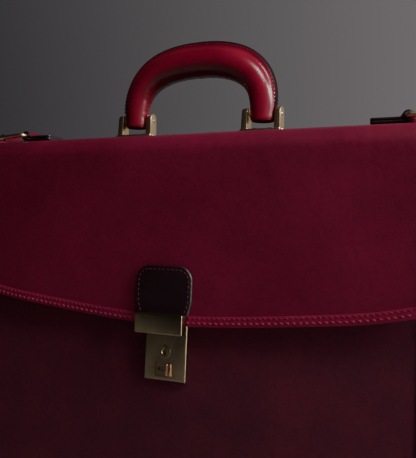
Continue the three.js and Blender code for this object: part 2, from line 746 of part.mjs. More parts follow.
const strikerHalfX = 1.5;
const strikerTip = PANEL_FACE_Y - 0.7;
const haspBack = HASP_Y[1];
piece(
  flapGroup,
  "hasp_bar",
  box([-HASP_HALF, HASP_HALF], HASP_Y, HASP_Z),
  brass(),
);
piece(
  flapGroup,
  "striker",
  cut(
    join(
      box([-strikerHalfX, strikerHalfX], [haspBack + GAP, strikerTip], [STRIKER_Z - 2.2, STRIKER_Z + 2.2]),
      box([-6, 6], [haspBack + GAP, haspBack + GAP + 1], [STRIKER_Z - 2.2, STRIKER_Z + 2.2]),
    ),
    box([-3, 3], [PANEL_FACE_Y + boltY[0] - 0.3, PANEL_FACE_Y + boltY[1] + 0.3], [STRIKER_Z - 1.2, STRIKER_Z + 1.2]),
  ),
  steel(),
);
lidGroup.add(flapGroup);

// ---- Handle ----
const handleGroup = new THREE.Group();
handleGroup.position.z = BRACKET_Z;
const archHeight = GRIP_TOP - GRIP_SHOULDER;
const archPoint = (a) =>
  v2(
    HANDLE_REACH * Math.sign(Math.cos(a)) * Math.abs(Math.cos(a)) ** (2 / ARCH_POWER),
    GRIP_SHOULDER + archHeight * Math.sin(a) ** (2 / ARCH_POWER),
  );
const ARCH_POINTS = 16;
const centreline = new THREE.SplineCurve([
  v2(HANDLE_REACH, GRIP_END),
  ...Array.from({ length: ARCH_POINTS + 1 }, (_, i) => archPoint((Math.PI * i) / ARCH_POINTS)),
  v2(-HANDLE_REACH, GRIP_END),
]);
const STATIONS = 44;
const stations = Array.from({ length: STATIONS + 1 }, (_, i) => {
  const u = i / STATIONS;
  const at = centreline.getPointAt(u);
  const along = centreline.getTangentAt(u);
  return { at, out: v2(along.y, -along.x), fromEnd: Math.min(u, 1 - u) * centreline.getLength() };
});

// The grip's section: a round body with the sewn flange standing on its outer side.
const END_ROUND = 5;
function gripSection({ at, out, fromEnd }) {
  const rounding = Math.min(1, fromEnd / END_ROUND);
  const padded = GRIP_R + GRIP_SWELL * THREE.MathUtils.smoothstep(fromEnd, 22, 80);
  const r = padded * (0.74 + 0.26 * Math.sqrt(1 - (1 - rounding) ** 2));
  const halfFlange = FLANGE_W / 2;
  const base = Math.sqrt(r * r - halfFlange ** 2);
  const full = THREE.MathUtils.smoothstep(fromEnd, 8, FLANGE_FADE);
  const reach = THREE.MathUtils.lerp(base + 0.4, FLANGE_REACH, full);
  const start = Math.asin(halfFlange / r);
  const roundSteps = 13;
  const outline = [v2(reach, -halfFlange), v2(reach, halfFlange)];
  for (let k = 0; k <= roundSteps; k++) {
    const a = start + ((2 * Math.PI - 2 * start) * k) / roundSteps;
    outline.push(v2(r * Math.cos(a), r * Math.sin(a)));
  }
  return outline.map((p) => new THREE.Vector3(at.x + out.x * p.x, p.y * GRIP_FLATNESS, at.y + out.y * p.x));
}

// The arch as a flat band about the centreline, as [z, x] points, running on past its ends by `past`.
function archBand(half, past) {
  const line = (offset) =>
    stations.map(({ at, out }) => v2(at.y + out.y * offset, at.x + out.x * offset));
  const outer = line(half);
  const inner = line(-half).reverse();
  const ends = [outer[0], outer[outer.length - 1], inner[0], inner[inner.length - 1]];
  ends.forEach((p) => (p.x -= past));
  return [...outer, ...inner];
}
const CORE_T = 3;
const CORE_HALF_Y = 6;
const pinHole = (r) => rod("x", r, 4 * HANDLE_REACH, [0, 0, PIN_HEIGHT], 16);
piece(
  handleGroup,
  "handle_grip",
  cut(
    skin(stations.map(gripSection), false),
    prismY(archBand(CORE_T / 2 + GAP, 3), -CORE_HALF_Y - GAP, CORE_HALF_Y + GAP),
    pinHole(PIN_R + 2 * GAP),
  ),
  redLeather(),
);
piece(
  handleGroup,
  "handle_core",
  cut(prismY(archBand(CORE_T / 2, -0.6), -CORE_HALF_Y, CORE_HALF_Y), pinHole(PIN_R + GAP)),
  steel(),
);
lidGroup.add(handleGroup);

const briefcase = new THREE.Group();
briefcase.add(caseGroup, lidGroup);
export default briefcase;
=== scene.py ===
"""Looks of a red leather flap briefcase, built round its CAD frame.

Lengths here are millimetres, and make_mesh turns them into metres. +X runs along the case, +Y to the
back and +Z up, as in the frame.
"""
import json
from math import asin, copysign, cos, dist, exp, hypot, pi, radians, sin, sqrt, tan

import bmesh
import bpy
from mathutils import Matrix, Vector, noise


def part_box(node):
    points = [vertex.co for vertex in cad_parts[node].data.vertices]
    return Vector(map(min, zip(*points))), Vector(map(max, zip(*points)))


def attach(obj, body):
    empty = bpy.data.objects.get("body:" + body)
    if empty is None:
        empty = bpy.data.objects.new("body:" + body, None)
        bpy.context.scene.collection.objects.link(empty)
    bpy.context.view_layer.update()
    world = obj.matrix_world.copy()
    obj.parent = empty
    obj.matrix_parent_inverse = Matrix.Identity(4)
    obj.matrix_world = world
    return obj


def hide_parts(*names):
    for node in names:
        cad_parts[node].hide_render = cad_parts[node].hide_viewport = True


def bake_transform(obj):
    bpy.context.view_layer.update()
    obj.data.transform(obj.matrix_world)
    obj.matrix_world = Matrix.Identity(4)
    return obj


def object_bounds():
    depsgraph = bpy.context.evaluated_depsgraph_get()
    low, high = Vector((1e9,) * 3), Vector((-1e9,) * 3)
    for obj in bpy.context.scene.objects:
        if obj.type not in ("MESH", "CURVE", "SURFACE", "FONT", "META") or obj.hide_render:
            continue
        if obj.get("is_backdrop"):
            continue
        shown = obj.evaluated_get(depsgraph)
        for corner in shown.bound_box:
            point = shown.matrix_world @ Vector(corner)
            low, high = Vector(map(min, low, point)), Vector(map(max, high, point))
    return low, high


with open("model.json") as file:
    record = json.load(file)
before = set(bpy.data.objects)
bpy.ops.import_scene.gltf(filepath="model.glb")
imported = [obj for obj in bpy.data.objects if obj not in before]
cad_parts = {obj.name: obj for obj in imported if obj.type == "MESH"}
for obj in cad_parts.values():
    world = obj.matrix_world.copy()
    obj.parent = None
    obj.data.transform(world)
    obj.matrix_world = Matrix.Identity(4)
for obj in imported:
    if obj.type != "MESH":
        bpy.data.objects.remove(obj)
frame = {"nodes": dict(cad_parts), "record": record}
CAD_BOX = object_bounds()


def node_box(node):
    low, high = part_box(node)
    return low * 1000, high * 1000


def middle_of(low, high, **set_to):
    """The middle of a box, with the named coordinates set to other values."""
    middle = (low + high) / 2
    for axis, value in set_to.items():
        setattr(middle, axis, value)
    return middle


# ---- Sizes taken from the frame ----
LID_HIGH = node_box("lid_top")[1]
FLAP_LOW = node_box("flap_leather")[0]
BACK_HIGH = node_box("back_panel")[1]
PANEL_LOW, PANEL_HIGH = node_box("front_panel")
BOTTOM_LOW, BOTTOM_HIGH = node_box("bottom_panel")
DIVIDER_LOW, DIVIDER_HIGH = node_box("divider")
POCKET_LOW, POCKET_HIGH = node_box("slip_pocket")
TAB_LOW, TAB_HIGH = node_box("closure_tab")
HASP_HIGH = node_box("hasp_bar")[1]
LOCK_LOW = node_box("lock_case")[0]
THUMB_LOW, THUMB_HIGH = node_box("slide_thumb")
BRACKET_LOW, BRACKET_HIGH = node_box("handle_bracket_right")
RING_HIGH = node_box("strap_ring_right")[1]
CHAPE_LOW, CHAPE_HIGH = node_box("ring_chape_right")
STRAP_LOW, STRAP_HIGH = node_box("side_strap_right")

TOP = LID_HIGH.z
HALF = LID_HIGH.x
BODY_HALF = PANEL_HIGH.x

# ---- Shape constants that the frame's boxes don't give ----
CROWN_R = 110
CORNER_R = 18
FOLD_TILT = radians(55)
FOLD_SPREAD = 9  # arc length from a fold to each of the two points that fold_span gives
FLAP_RISE = 8.9
FLAP_RISE_WIDTH = 75
FLAP_END_RISE = 5
FLAP_END_START = 150
FLAP_CORNER_R = 13
COVER_T = 2.1
SKIVE_DEPTH = 0.6  # share of the leather's thickness that is pared off at a fold
SKIVE_REACH = 16
HEM_WIDTH = 8.2
HEM_RISE = 0.85


# ---- Curves and meshes ----
def spread(start, end, count):
    """count values evenly from start to end, both included."""
    return [start + (end - start) * i / (count - 1) for i in range(count)]


def round_angles(count):
    """count angles evenly round a full turn."""
    return [2 * pi * k / count for k in range(count)]


def vec(*place):
    return Vector(place)


def waver(*place):
    """Smooth unevenness between about -1 and 1 that changes over a length of 1."""
    return noise.noise(Vector(place))


def smooth_step(x, low, high):
    t = min(1.0, max(0.0, (x - low) / (high - low)))
    return t * t * (3 - 2 * t)


def lerp(a, b, t):
    return a + (b - a) * t


def make_mesh(name, verts, faces, materials, face_slots=None, sharp=40):
    """A mesh object from millimetre points, faces outward and shaded smooth up to the sharp angle."""
    mesh = bpy.data.meshes.new(name)
    mesh.from_pydata([Vector(v) * 0.001 for v in verts], [], faces)
    for material in materials:
        mesh.materials.append(material)
    if face_slots:
        mesh.polygons.foreach_set("material_index", face_slots)
    bm = bmesh.new()
    bm.from_mesh(mesh)
    bmesh.ops.recalc_face_normals(bm, faces=bm.faces)
    bm.to_mesh(mesh)
    bm.free()
    mesh.polygons.foreach_set("use_smooth", [True] * len(mesh.polygons))
    mesh.set_sharp_from_angle(angle=radians(sharp))
    obj = bpy.data.objects.new(name, mesh)
    bpy.context.scene.collection.objects.link(obj)
    return obj


class Solid:
    """Gathers closed surfaces for one mesh, each face with a material slot."""

    def __init__(self):
        self.verts = []
        self.faces = []
        self.slots = []

    def add(self, verts, faces, slot=0):
        start = len(self.verts)
        self.verts += verts
        self.faces += [tuple(i + start for i in face) for face in faces]
        self.slots += [slot] * len(faces) if isinstance(slot, int) else list(slot)
        return self

    def make(self, name, materials, sharp=40):
        return make_mesh(name, self.verts, self.faces, materials, self.slots, sharp)


def loft(rings, loop=False, caps=True):
    """Skins equal rings of points. With loop the last ring joins the first."""
    count = len(rings[0])
    verts = [p for ring in rings for p in ring]
    faces = []
    for i in range(len(rings) if loop else len(rings) - 1):
        a = i * count
        b = ((i + 1) % len(rings)) * count
        for k in range(count):
            n = (k + 1) % count
            faces.append((a + k, a + n, b + n, b + k))
    if caps and not loop:
        faces.append(tuple(range(count))[::-1])
        last = (len(rings) - 1) * count
        faces.append(tuple(last + k for k in range(count)))
    return verts, faces


def sheet(layers, rows, columns, point):
    """A closed sheet between two layers; point turns a layer, a row and a column into a place."""
    verts = [point(layer, row, column) for layer in layers for row in rows for column in columns]
    cols = len(columns)
    back = len(rows) * cols
    faces = []
    for start in range(0, back - cols, cols):
        for a in range(start, start + cols - 1):
            faces.append((a, a + 1, a + cols + 1, a + cols))
            faces.append((back + a, back + a + cols, back + a + cols + 1, back + a + 1))
    rim = list(range(cols - 1))
    rim += list(range(cols - 1, back - 1, cols))
    rim += list(range(back - 1, back - cols, -1))
    rim += list(range(back - cols, 0, -cols))
    for a, b in zip(rim, rim[1:] + rim[:1]):
        faces.append((a, back + a, back + b, b))
    return verts, faces


def offset_outline(points, distance):
    """A closed convex outline moved inwards by a distance, with its corners kept."""
    area = sum(a.x * b.y - b.x * a.y for a, b in zip(points, points[1:] + points[:1]))
    turn = 1 if area > 0 else -1
    moved = []
    for before, at, after in zip(points[-1:] + points[:-1], points, points[1:] + points[:1]):
        d1 = (at - before).normalized()
        d2 = (after - at).normalized()
        n1 = vec(-d1.y, d1.x) * turn
        n2 = vec(-d2.y, d2.x) * turn
        bisector = n1 + n2
        moved.append(at + bisector * (distance * 2 / max(0.5, bisector.length_squared)))
    return moved


RIM_STEPS = 3


def rounded_extrusion(outline, low, high, bevel, place):
    """An outline pushed from low to high with rounded rims; place turns (u, v, depth) into a point."""
    levels = []
    for a in spread(0, pi / 2, RIM_STEPS + 1):
        levels.append((bevel * (1 - sin(a)), low + bevel * (1 - cos(a))))
    levels += [(inset, high + low - depth) for inset, depth in reversed(levels)]
    rings = []
    for inset, depth in levels:
        rings.append([place(p.x, p.y, depth) for p in offset_outline(outline, inset)])
    return loft(rings)


def rounded_rectangle(u0, u1, v0, v1, r, steps=5):
    corners = ((u1 - r, v1 - r, 0), (u0 + r, v1 - r, 90), (u0 + r, v0 + r, 180), (u1 - r, v0 + r, 270))
    points = []
    for cu, cv, start in corners:
        for i in range(steps + 1):
            a = radians(start + 90 * i / steps)
            points.append(vec(cu + r * cos(a), cv + r * sin(a)))
    return points


def in_xz(u, v, depth):
    return vec(u, depth, v)


def in_xy(u, v, depth):
    return vec(u, v, depth)


def in_yz(u, v, depth):
    return vec(depth, u, v)


def turned(profile, axis_at, place, segments=32):
    """A turned piece: [radius, height] points from axis to axis, about an axis through axis_at."""
    angles = round_angles(segments)
    rings = []
    for r, h in profile:
        rings.append([axis_at + place(r * cos(a), r * sin(a), h) for a in angles])
    return loft(rings)


def rounded_profile(profile, step=0.15):
    """Softens a turned profile's corners by cutting each one twice."""
    for _ in range(2):
        cut = [profile[0]]
        for a, b in zip(profile, profile[1:]):
            length = dist(a, b)
            t = min(0.3, step * 2 / max(length, 1e-6))
            cut.append((lerp(a[0], b[0], t), lerp(a[1], b[1], t)))
            cut.append((lerp(b[0], a[0], t), lerp(b[1], a[1], t)))
        profile = cut + [profile[-1]]
    return profile


# ---- Stitching ----
# Places along a stitch, as shares: how far along it, how much of its radius, and its lift in diameters.
STITCH_STATIONS = (
    (0.0, 0.4, -0.45), (0.16, 0.9, 0.0), (0.5, 1.0, 0.14), (0.84, 0.9, 0.0), (1.0, 0.4, -0.45),
)
STITCH_SIDES = 6
BODY_STITCH = (4.6, 3.3)  # pitch and length
STRAP_STITCH = (3.8, 2.7, 0.34, 0.2)  # pitch, length, radius and slant


class Path:
    """A line of (point, normal) pairs that can be read by its length."""

    def __init__(self, pairs):
        self.pairs = pairs
        self.lengths = [0.0]
        for (a, _), (b, _) in zip(pairs, pairs[1:]):
            self.lengths.append(self.lengths[-1] + (b - a).length)
        self.cursor = 0

    def at(self, distance):
        last = len(self.lengths) - 2
        i = self.cursor if self.lengths[self.cursor] <= distance else 0
        while i < last and self.lengths[i + 1] < distance:
            i += 1
        self.cursor = i
        span = self.lengths[i + 1] - self.lengths[i]
        t = (distance - self.lengths[i]) / span if span else 0.0
        (a, na), (b, nb) = self.pairs[i], self.pairs[i + 1]
        return a.lerp(b, t), na.lerp(nb, t).normalized(), (b - a).normalized()


def add_stitches(solid, pairs, pitch=5.0, length=3.7, radius=0.42, slant=0.5, sink=0.12, start=0.5, slot=0):
    """Adds one small thread for each stitch along a line, its ends dipping into the leather."""
    path = Path(pairs)
    total = path.lengths[-1]
    count = max(1, round(total / pitch))
    for k in range(count):
        middle = (k + start) * total / count
        rings = []
        for t, width, lift in STITCH_STATIONS:
            point, normal, along = path.at(middle + (t - 0.5) * length)
            side = along.cross(normal)
            centre = point + normal * (radius * lift * 2 - sink) + side * (slant * (t - 0.5))
            arms = [side * cos(a) + normal * sin(a) for a in round_angles(STITCH_SIDES)]
            rings.append([centre + arm * radius * width for arm in arms])
        solid.add(*loft(rings), slot)
    return solid


# ---- Materials ----
def new_material(name):
    material = bpy.data.materials.new(name)
    material.use_nodes = True
    tree = material.node_tree
    return material, tree, tree.nodes["Principled BSDF"]


def add_node(tree, kind, **values):
    node = tree.nodes.new(kind)
    for key, value in values.items():
        if key in node.inputs:
            node.inputs[key].default_value = value
        else:
            setattr(node, key, value)
    return node


def noise_node(tree, scale, detail=4.0, roughness=0.55, stretch=None):
    place = tree.nodes.new("ShaderNodeTexCoord")
    vector = place.outputs["Object"]
    if stretch:
        mapping = add_node(tree, "ShaderNodeMapping", Scale=stretch)
        tree.links.new(vector, mapping.inputs["Vector"])
        vector = mapping.outputs["Vector"]
    node = add_node(tree, "ShaderNodeTexNoise", Scale=scale, Detail=detail, Roughness=roughness)
    tree.links.new(vector, node.inputs["Vector"])
    return node.outputs["Fac"]


def cell_node(tree, scale):
    place = tree.nodes.new("ShaderNodeTexCoord")
    node = add_node(tree, "ShaderNodeTexVoronoi", Scale=scale)
    tree.links.new(place.outputs["Object"], node.inputs["Vector"])
    return node.outputs["Distance"]


def ranged(tree, value, low, high, from_low=0.3, from_high=0.7):
    """Maps a value from one range to another, and holds it at the ends."""
    node = tree.nodes.new("ShaderNodeMapRange")
    ends = {"From Min": from_low, "From Max": from_high, "To Min": low, "To Max": high}
    for socket, end in ends.items():
        node.inputs[socket].default_value = end
    tree.links.new(value, node.inputs["Value"])
    return node.outputs["Result"]


def mixed_colour(tree, factor, first, second):
    node = add_node(tree, "ShaderNodeMix", data_type="RGBA")
    tree.links.new(factor, node.inputs["Factor"])
    for socket, value in ((node.inputs["A"], first), (node.inputs["B"], second)):
        if isinstance(value, tuple):
            socket.default_value = (*value, 1)
        else:
            tree.links.new(value, socket)
    return node.outputs["Result"]


def dye(tree, shader, factor, first, second):
    tree.links.new(mixed_colour(tree, factor, first, second), shader.inputs["Base Color"])


def bump(tree, height, distance, strength, below=None):
    node = add_node(tree, "ShaderNodeBump", Strength=strength, Distance=distance)
    tree.links.new(height, node.inputs["Height"])
    if below:
        tree.links.new(below, node.inputs["Normal"])
    return node.outputs["Normal"]


PORES = 900.0


def leather(name, dark, light, roughness, grain=0.00012, coat=0.0, gloss=0.14, mottle=16.0):
    """Smooth finished leather: cloudy dye, a fine pebble grain with pores, uneven polish and painted shade.

    The painted shade darkens the colour towards near black where a per-point attribute of the mesh is high;
    the attribute is 0 on a mesh that has none."""
    material, tree, shader = new_material(name)
    cloud = ranged(tree, noise_node(tree, mottle, 5.0, 0.6), 0.0, 1.0)
    base = mixed_colour(tree, cloud, dark, light)
    speck = ranged(tree, noise_node(tree, 260.0, 3.0), 0.0, 0.35, 0.45, 0.75)
    deep = tuple(c * 0.62 for c in dark)
    # Painted shade: a per-point attribute of the mesh darkens the colour towards near black.
    shade_input = tree.nodes.new("ShaderNodeAttribute")
    shade_input.attribute_name = "painted_shade"
    shade_black = tuple(c * 0.12 for c in dark)
    dyed = mixed_colour(tree, speck, base, deep)
    dye(tree, shader, shade_input.outputs["Fac"], dyed, shade_black)
    polish = ranged(tree, noise_node(tree, 34.0, 6.0, 0.65), *roughness)
    tree.links.new(polish, shader.inputs["Roughness"])
    pebble = bump(tree, cell_node(tree, PORES), grain, 0.5)
    creases = bump(tree, noise_node(tree, 120.0, 6.0, 0.7), grain * 2.2, 0.35, pebble)
    tree.links.new(creases, shader.inputs["Normal"])
    shader.inputs["Specular IOR Level"].default_value = gloss
    shader.inputs["Coat Weight"].default_value = coat
    shader.inputs["Coat Roughness"].default_value = 0.28
    return material


def metal(name, dark, light, roughness, brush=(1, 1, 1), brush_depth=0.00002):
    """Worn metal: slow tarnish, fine brush marks and uneven polish."""
    material, tree, shader = new_material(name)
    tarnish = ranged(tree, noise_node(tree, 55.0, 5.0, 0.6), 0.0, 1.0)
    dye(tree, shader, tarnish, dark, light)
    shader.inputs["Metallic"].default_value = 1.0
    marks = noise_node(tree, 420.0, 3.0, 0.5, brush)
    tree.links.new(ranged(tree, marks, *roughness), shader.inputs["Roughness"])
    tree.links.new(bump(tree, marks, brush_depth, 0.3), shader.inputs["Normal"])
    return material


def thread(name, dark, light):
    """Waxed sewing thread with a fine twist."""
    material, tree, shader = new_material(name)
    shade = ranged(tree, noise_node(tree, 700.0, 2.0), 0.0, 1.0)
    dye(tree, shader, shade, dark, light)
    twist = add_node(tree, "ShaderNodeTexWave", Scale=900.0, Distortion=0.6)
    place = tree.nodes.new("ShaderNodeTexCoord")
    tree.links.new(place.outputs["Object"], twist.inputs["Vector"])
    tree.links.new(bump(tree, twist.outputs["Fac"], 0.00006, 0.5), shader.inputs["Normal"])
    shader.inputs["Roughness"].default_value = 0.7
    shader.inputs["Specular IOR Level"].default_value = 0.25
    shader.inputs["Sheen Weight"].default_value = 0.1
    return material


def suede(name, dark, light):
    """Matt brushed lining with a short nap."""
    material, tree, shader = new_material(name)
    nap = ranged(tree, noise_node(tree, 45.0, 6.0, 0.7), 0.0, 1.0)
    dye(tree, shader, nap, dark, light)
    tree.links.new(bump(tree, noise_node(tree, 1500.0, 3.0), 0.00015, 0.6), shader.inputs["Normal"])
    shader.inputs["Roughness"].default_value = 0.92
    shader.inputs["Sheen Weight"].default_value = 0.35
    return material


RED = leather("red_leather", (0.14, 0.0065, 0.029), (0.2, 0.0095, 0.041), (0.5, 0.64))
# Painted shade: the front panel, its binding and its top roll get a darker, greyer copy of the red leather;
# the darkness stands in for the shade under the flap and the grey for the haze in that shade.
SHADED_PANEL_RED = leather("red_leather_panel_painted_shade", (0.07, 0.012, 0.026), (0.115, 0.014, 0.034), (0.54, 0.7))
# A darker, matt red for the grip's two end faces.
DARK_END_RED = leather("red_leather_dark_end", (0.05, 0.002, 0.006), (0.08, 0.003, 0.01), (0.75, 0.9), gloss=0.03)
# Painted light: the hem gets a lighter copy of the red leather, standing in for the light its raised band
# catches.
LIT_HEM_RED = leather("red_leather_hem_painted_light", (0.21, 0.009, 0.042), (0.29, 0.013, 0.058), (0.42, 0.55), mottle=40.0)
# Painted light: the grip's leather is a lighter copy of the red, standing in for the light that falls on its
# top; it is also glossier.
LIT_HANDLE_RED = leather(
    "red_leather_handle_painted_light", (0.17, 0.003, 0.018), (0.28, 0.006, 0.034), (0.2, 0.3), 0.00008, 0.4, 0.45
)
DARK = leather("dark_leather", (0.011, 0.0035, 0.0065), (0.026, 0.006, 0.012), (0.3, 0.46), 0.0001, 0.1, 0.4)
EDGE = leather("edge_paint", (0.01, 0.007, 0.009), (0.024, 0.017, 0.02), (0.3, 0.42), 0.00003, 0.4, 0.6)
GRIP_EDGE = leather("grip_edge_paint", (0.012, 0.002, 0.005), (0.026, 0.004, 0.009), (0.5, 0.6), gloss=0.15)
GRIP_THREAD = thread("handle_thread", (0.045, 0.0015, 0.006), (0.09, 0.004, 0.012))
RED_THREAD = thread("red_thread", (0.23, 0.009, 0.045), (0.34, 0.021, 0.075))
FAINT_THREAD = thread("faint_thread", (0.14, 0.006, 0.03), (0.22, 0.013, 0.05))
TAB_THREAD = thread("tab_thread", (0.11, 0.005, 0.024), (0.17, 0.01, 0.04))
LINING = suede("lining", (0.055, 0.02, 0.014), (0.11, 0.045, 0.03))
BOARD = suede("board", (0.09, 0.06, 0.04), (0.16, 0.11, 0.075))
BRASS = metal("brass", (0.88, 0.67, 0.38), (0.96, 0.77, 0.48), (0.28, 0.34), brush_depth=0.0000005)
# Painted shade: the lock's brass is much darker than the other brass, standing in for the dim surroundings
# it reflects.
DARKENED_LOCK_BRASS = metal(
    "lock_brass", (0.31, 0.24, 0.145), (0.39, 0.31, 0.2), (0.27, 0.31), (1, 1, 0.04), 0.0000015
)
BRONZE = metal("thumb_bronze", (0.45, 0.28, 0.17), (0.62, 0.4, 0.25), (0.3, 0.42), brush_depth=0.000004)
STEEL = metal("steel", (0.4, 0.4, 0.42), (0.58, 0.58, 0.6), (0.3, 0.45), (0.05, 1, 1))
SLOT_MATERIALS = {
    "red_leather": RED,
    "dark_leather": DARK,
    "lining": LINING,
    "board": BOARD,
    "brass": BRASS,
    "lock_brass": DARKENED_LOCK_BRASS,
    "steel": STEEL,
}


def piece(name, shape, slot, body, replaces=(), materials=None, sharp=40):
    """Makes a finished piece from a Solid or from (verts, faces), and hides the CAD nodes it stands for.

    Its own materials are given only where they aren't the slot's."""
    solid = shape if isinstance(shape, Solid) else Solid().add(*shape)
    obj = solid.make(name, materials or [SLOT_MATERIALS[slot]], sharp)
    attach(obj, body)
    if replaces:
        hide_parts(*replaces)
    return obj


# ---- The cover: one leather from the flap's edge over the lid and down the back ----
class Profile:
    """The outline of the case from the middle of the lid over one corner and down its face."""

    def __init__(self, face_y):
        self.sign = -1 if face_y < 0 else 1
        self.face = abs(face_y)
        self.centre_y = self.face - CORNER_R
        self.centre_z = TOP - CROWN_R + sqrt((CROWN_R - CORNER_R) ** 2 - self.centre_y**2)
        self.crown_tilt = asin(self.centre_y / (CROWN_R - CORNER_R))
        self.crown = CROWN_R * self.crown_tilt
        self.corner_end = self.crown + CORNER_R * (pi / 2 - self.crown_tilt)
        self.fold = self.crown + CORNER_R * (FOLD_TILT - self.crown_tilt)

    def at(self, s, lift=0.0):
        if s < self.crown:
            tilt = s / CROWN_R
            centre_y, centre_z, radius = 0.0, TOP - CROWN_R, CROWN_R
        elif s < self.corner_end:
            tilt = self.crown_tilt + (s - self.crown) / CORNER_R
            centre_y, centre_z, radius = self.centre_y, self.centre_z, CORNER_R
        else:
            return self.sign * (self.face + lift), self.centre_z - (s - self.corner_end)
        y = centre_y + (radius + lift) * sin(tilt)
        return self.sign * y, centre_z + (radius + lift) * cos(tilt)

    def length_to(self, z):
        """Arc length from the middle of the lid to a height on the face."""
        return self.corner_end + self.centre_z - z

    def surface(self, x, s, lift=0.0):
        """A point of the cover, with the leather's slow unevenness and the soft creases at the fold."""
        signed = self.sign * s
        uneven = 0.4 * waver(x / 75, signed / 60, 3.0)
        uneven += 0.1 * waver(x / 16, signed / 16, 7.0)
        for k, offset in enumerate((-7.0, 1.5, 10.0)):
            wander = offset + 2.2 * waver(x / 60, k * 9.0, self.sign)
            depth = 0.16 + 0.16 * waver(x / 28, k * 5.0, 11.0 + self.sign)
            uneven -= max(0.0, depth) * exp(-(((s - self.fold - wander) / 1.3) ** 2))
        drawn = exp(-(((s - self.corner_end) / 26) ** 2))
        uneven += 0.16 * drawn * waver(x / 5.5, signed / 70, 31.0)
        y, z = self.at(s, lift + uneven)
        return vec(x, y, z)

    def pair(self, x, s, lift=0.0):
        """A point of the cover and its normal."""
        point = self.surface(x, s, lift)
        return point, (self.surface(x, s, lift + 0.5) - point).normalized()

    def skive(self, s):
        """The share of the leather's thickness that is left: it is pared thin at the fold, to bend."""
        return 1 - SKIVE_DEPTH * exp(-(((s - self.fold) / SKIVE_REACH) ** 2))

    def fold_span(self):
        """The points just above and just below the fold."""
        return [vec(0, *self.at(self.fold + side * FOLD_SPREAD)) * 0.001 for side in (-1, 1)]


FRONT = Profile(FLAP_LOW.y)
REAR = Profile(BACK_HIGH.y)
CORNER_X = HALF - FLAP_CORNER_R


def flap_edge(x):
    """Arc length to the flap's lower edge, a shallow curve that lifts more towards its ends."""
    end = max(0.0, (abs(x) - FLAP_END_START) / (HALF - FLAP_END_START))
    z = FLAP_LOW.z + FLAP_RISE * (hypot(1, x / FLAP_RISE_WIDTH) - 1) + FLAP_END_RISE * end**2
    return FRONT.length_to(z)


def edge_outline(inset, corner_r, corner, half_at, edge_at, counts, start=0.0, down=1):
    """A free edge moved inwards, as (x, s) down the left side, along the bottom and up the right side.

    s grows downwards, or upwards where down is -1. half_at(s) is half the width, edge_at(x) the bottom's
    s, corner the centre of the right corner, and counts the points on a side, a corner and the bottom."""
    r = corner_r - inset
    corner_x, corner_s = corner
    side = [(half_at(s) - inset, s) for s in spread(start, corner_s, counts[0])]
    for a in spread(0, pi / 2, counts[1])[1:-1]:
        side.append((corner_x + r * cos(a), corner_s + down * r * sin(a)))
    bottom = [(x, edge_at(x) - down * inset) for x in spread(-corner_x, corner_x, counts[2])]
    return [(-x, s) for x, s in side] + bottom + side[::-1]


def flap_outline(inset):
    corner = (CORNER_X, flap_edge(CORNER_X) - FLAP_CORNER_R)
    return edge_outline(inset, FLAP_CORNER_R, corner, lambda s: HALF, flap_edge, (46, 12, 120))


BACK_CORNER_R = 10
BACK_TAPER = 25  # how far below the corner the cover reaches the body's width
BACK_END = REAR.length_to(BOTTOM_LOW.z + 0.6)


def back_half(s):
    """Half the cover's length: the lid overhangs the body, so it narrows where the back begins."""
    return lerp(HALF, BODY_HALF, smooth_step(s, REAR.crown, REAR.corner_end + BACK_TAPER))


def back_outline(inset):
    corner = (BODY_HALF - BACK_CORNER_R, BACK_END - BACK_CORNER_R)
    return edge_outline(inset, BACK_CORNER_R, corner, back_half, lambda x: BACK_END, (80, 8, 60))


SHEET_INSET = 1.2


def flap_end(x):
    """Where the flap's leather ends below a place on the lid."""
    beyond = abs(x) - CORNER_X
    if beyond <= 0:
        return flap_edge(x) - SHEET_INSET
    r = FLAP_CORNER_R - SHEET_INSET
    return flap_edge(CORNER_X) - FLAP_CORNER_R + sqrt(max(0.0, r * r - beyond * beyond))


def cover_sheet(name, profile, half, end):
    """The leather itself, with its margin under the hem."""
    rounded = spread(0, profile.crown, 8) + spread(profile.crown, profile.corner_end, 15)[1:]
    rows = [(s, 0.0) for s in rounded] + [(profile.corner_end, t) for t in spread(0, 1, 58)[1:]]

    def point(thickness, row, u):
        start, t = row
        s = lerp(start, end(u * half(start)), t)
        return profile.surface(u * half(s), s, -thickness * profile.skive(s))

    return Solid().add(*sheet((0.0, COVER_T), rows, spread(-1, 1, 141), point)).make(name, [RED])


def hem_section():
    """The hem's section as (inset from the edge, lift), a flat strap with a rolled edge."""
    roll = [(0.2, -COVER_T - 0.5), (-0.25, -COVER_T + 0.3), (-0.4, -0.7), (-0.15, 0.15), (0.4, 0.62)]
    top = [(1.3, HEM_RISE), (4.4, HEM_RISE * 0.92), (HEM_WIDTH - 1.0, HEM_RISE * 0.9)]
    step = [(HEM_WIDTH - 0.25, HEM_RISE * 0.62), (HEM_WIDTH, 0.05), (HEM_WIDTH, -0.6)]
    return roll + top + step + [(1.2, -COVER_T - 0.5)]


def strip_along(section, outline, point):
    """A strip with a section of (inset, lift) pairs, along an outline that is a function of the inset."""
    rows = [[point(a, b, lift) for a, b in outline(inset)] for inset, lift in section]
    return loft([list(ring) for ring in zip(*rows)])


def hem(name, profile, outline):
    """The turned hem round a cover's free edge."""
    # Its leather is the lighter copy of the red: painted light on the hem's raised band.
    return Solid().add(*strip_along(hem_section(), outline, profile.surface)).make(name, [LIT_HEM_RED], 55)


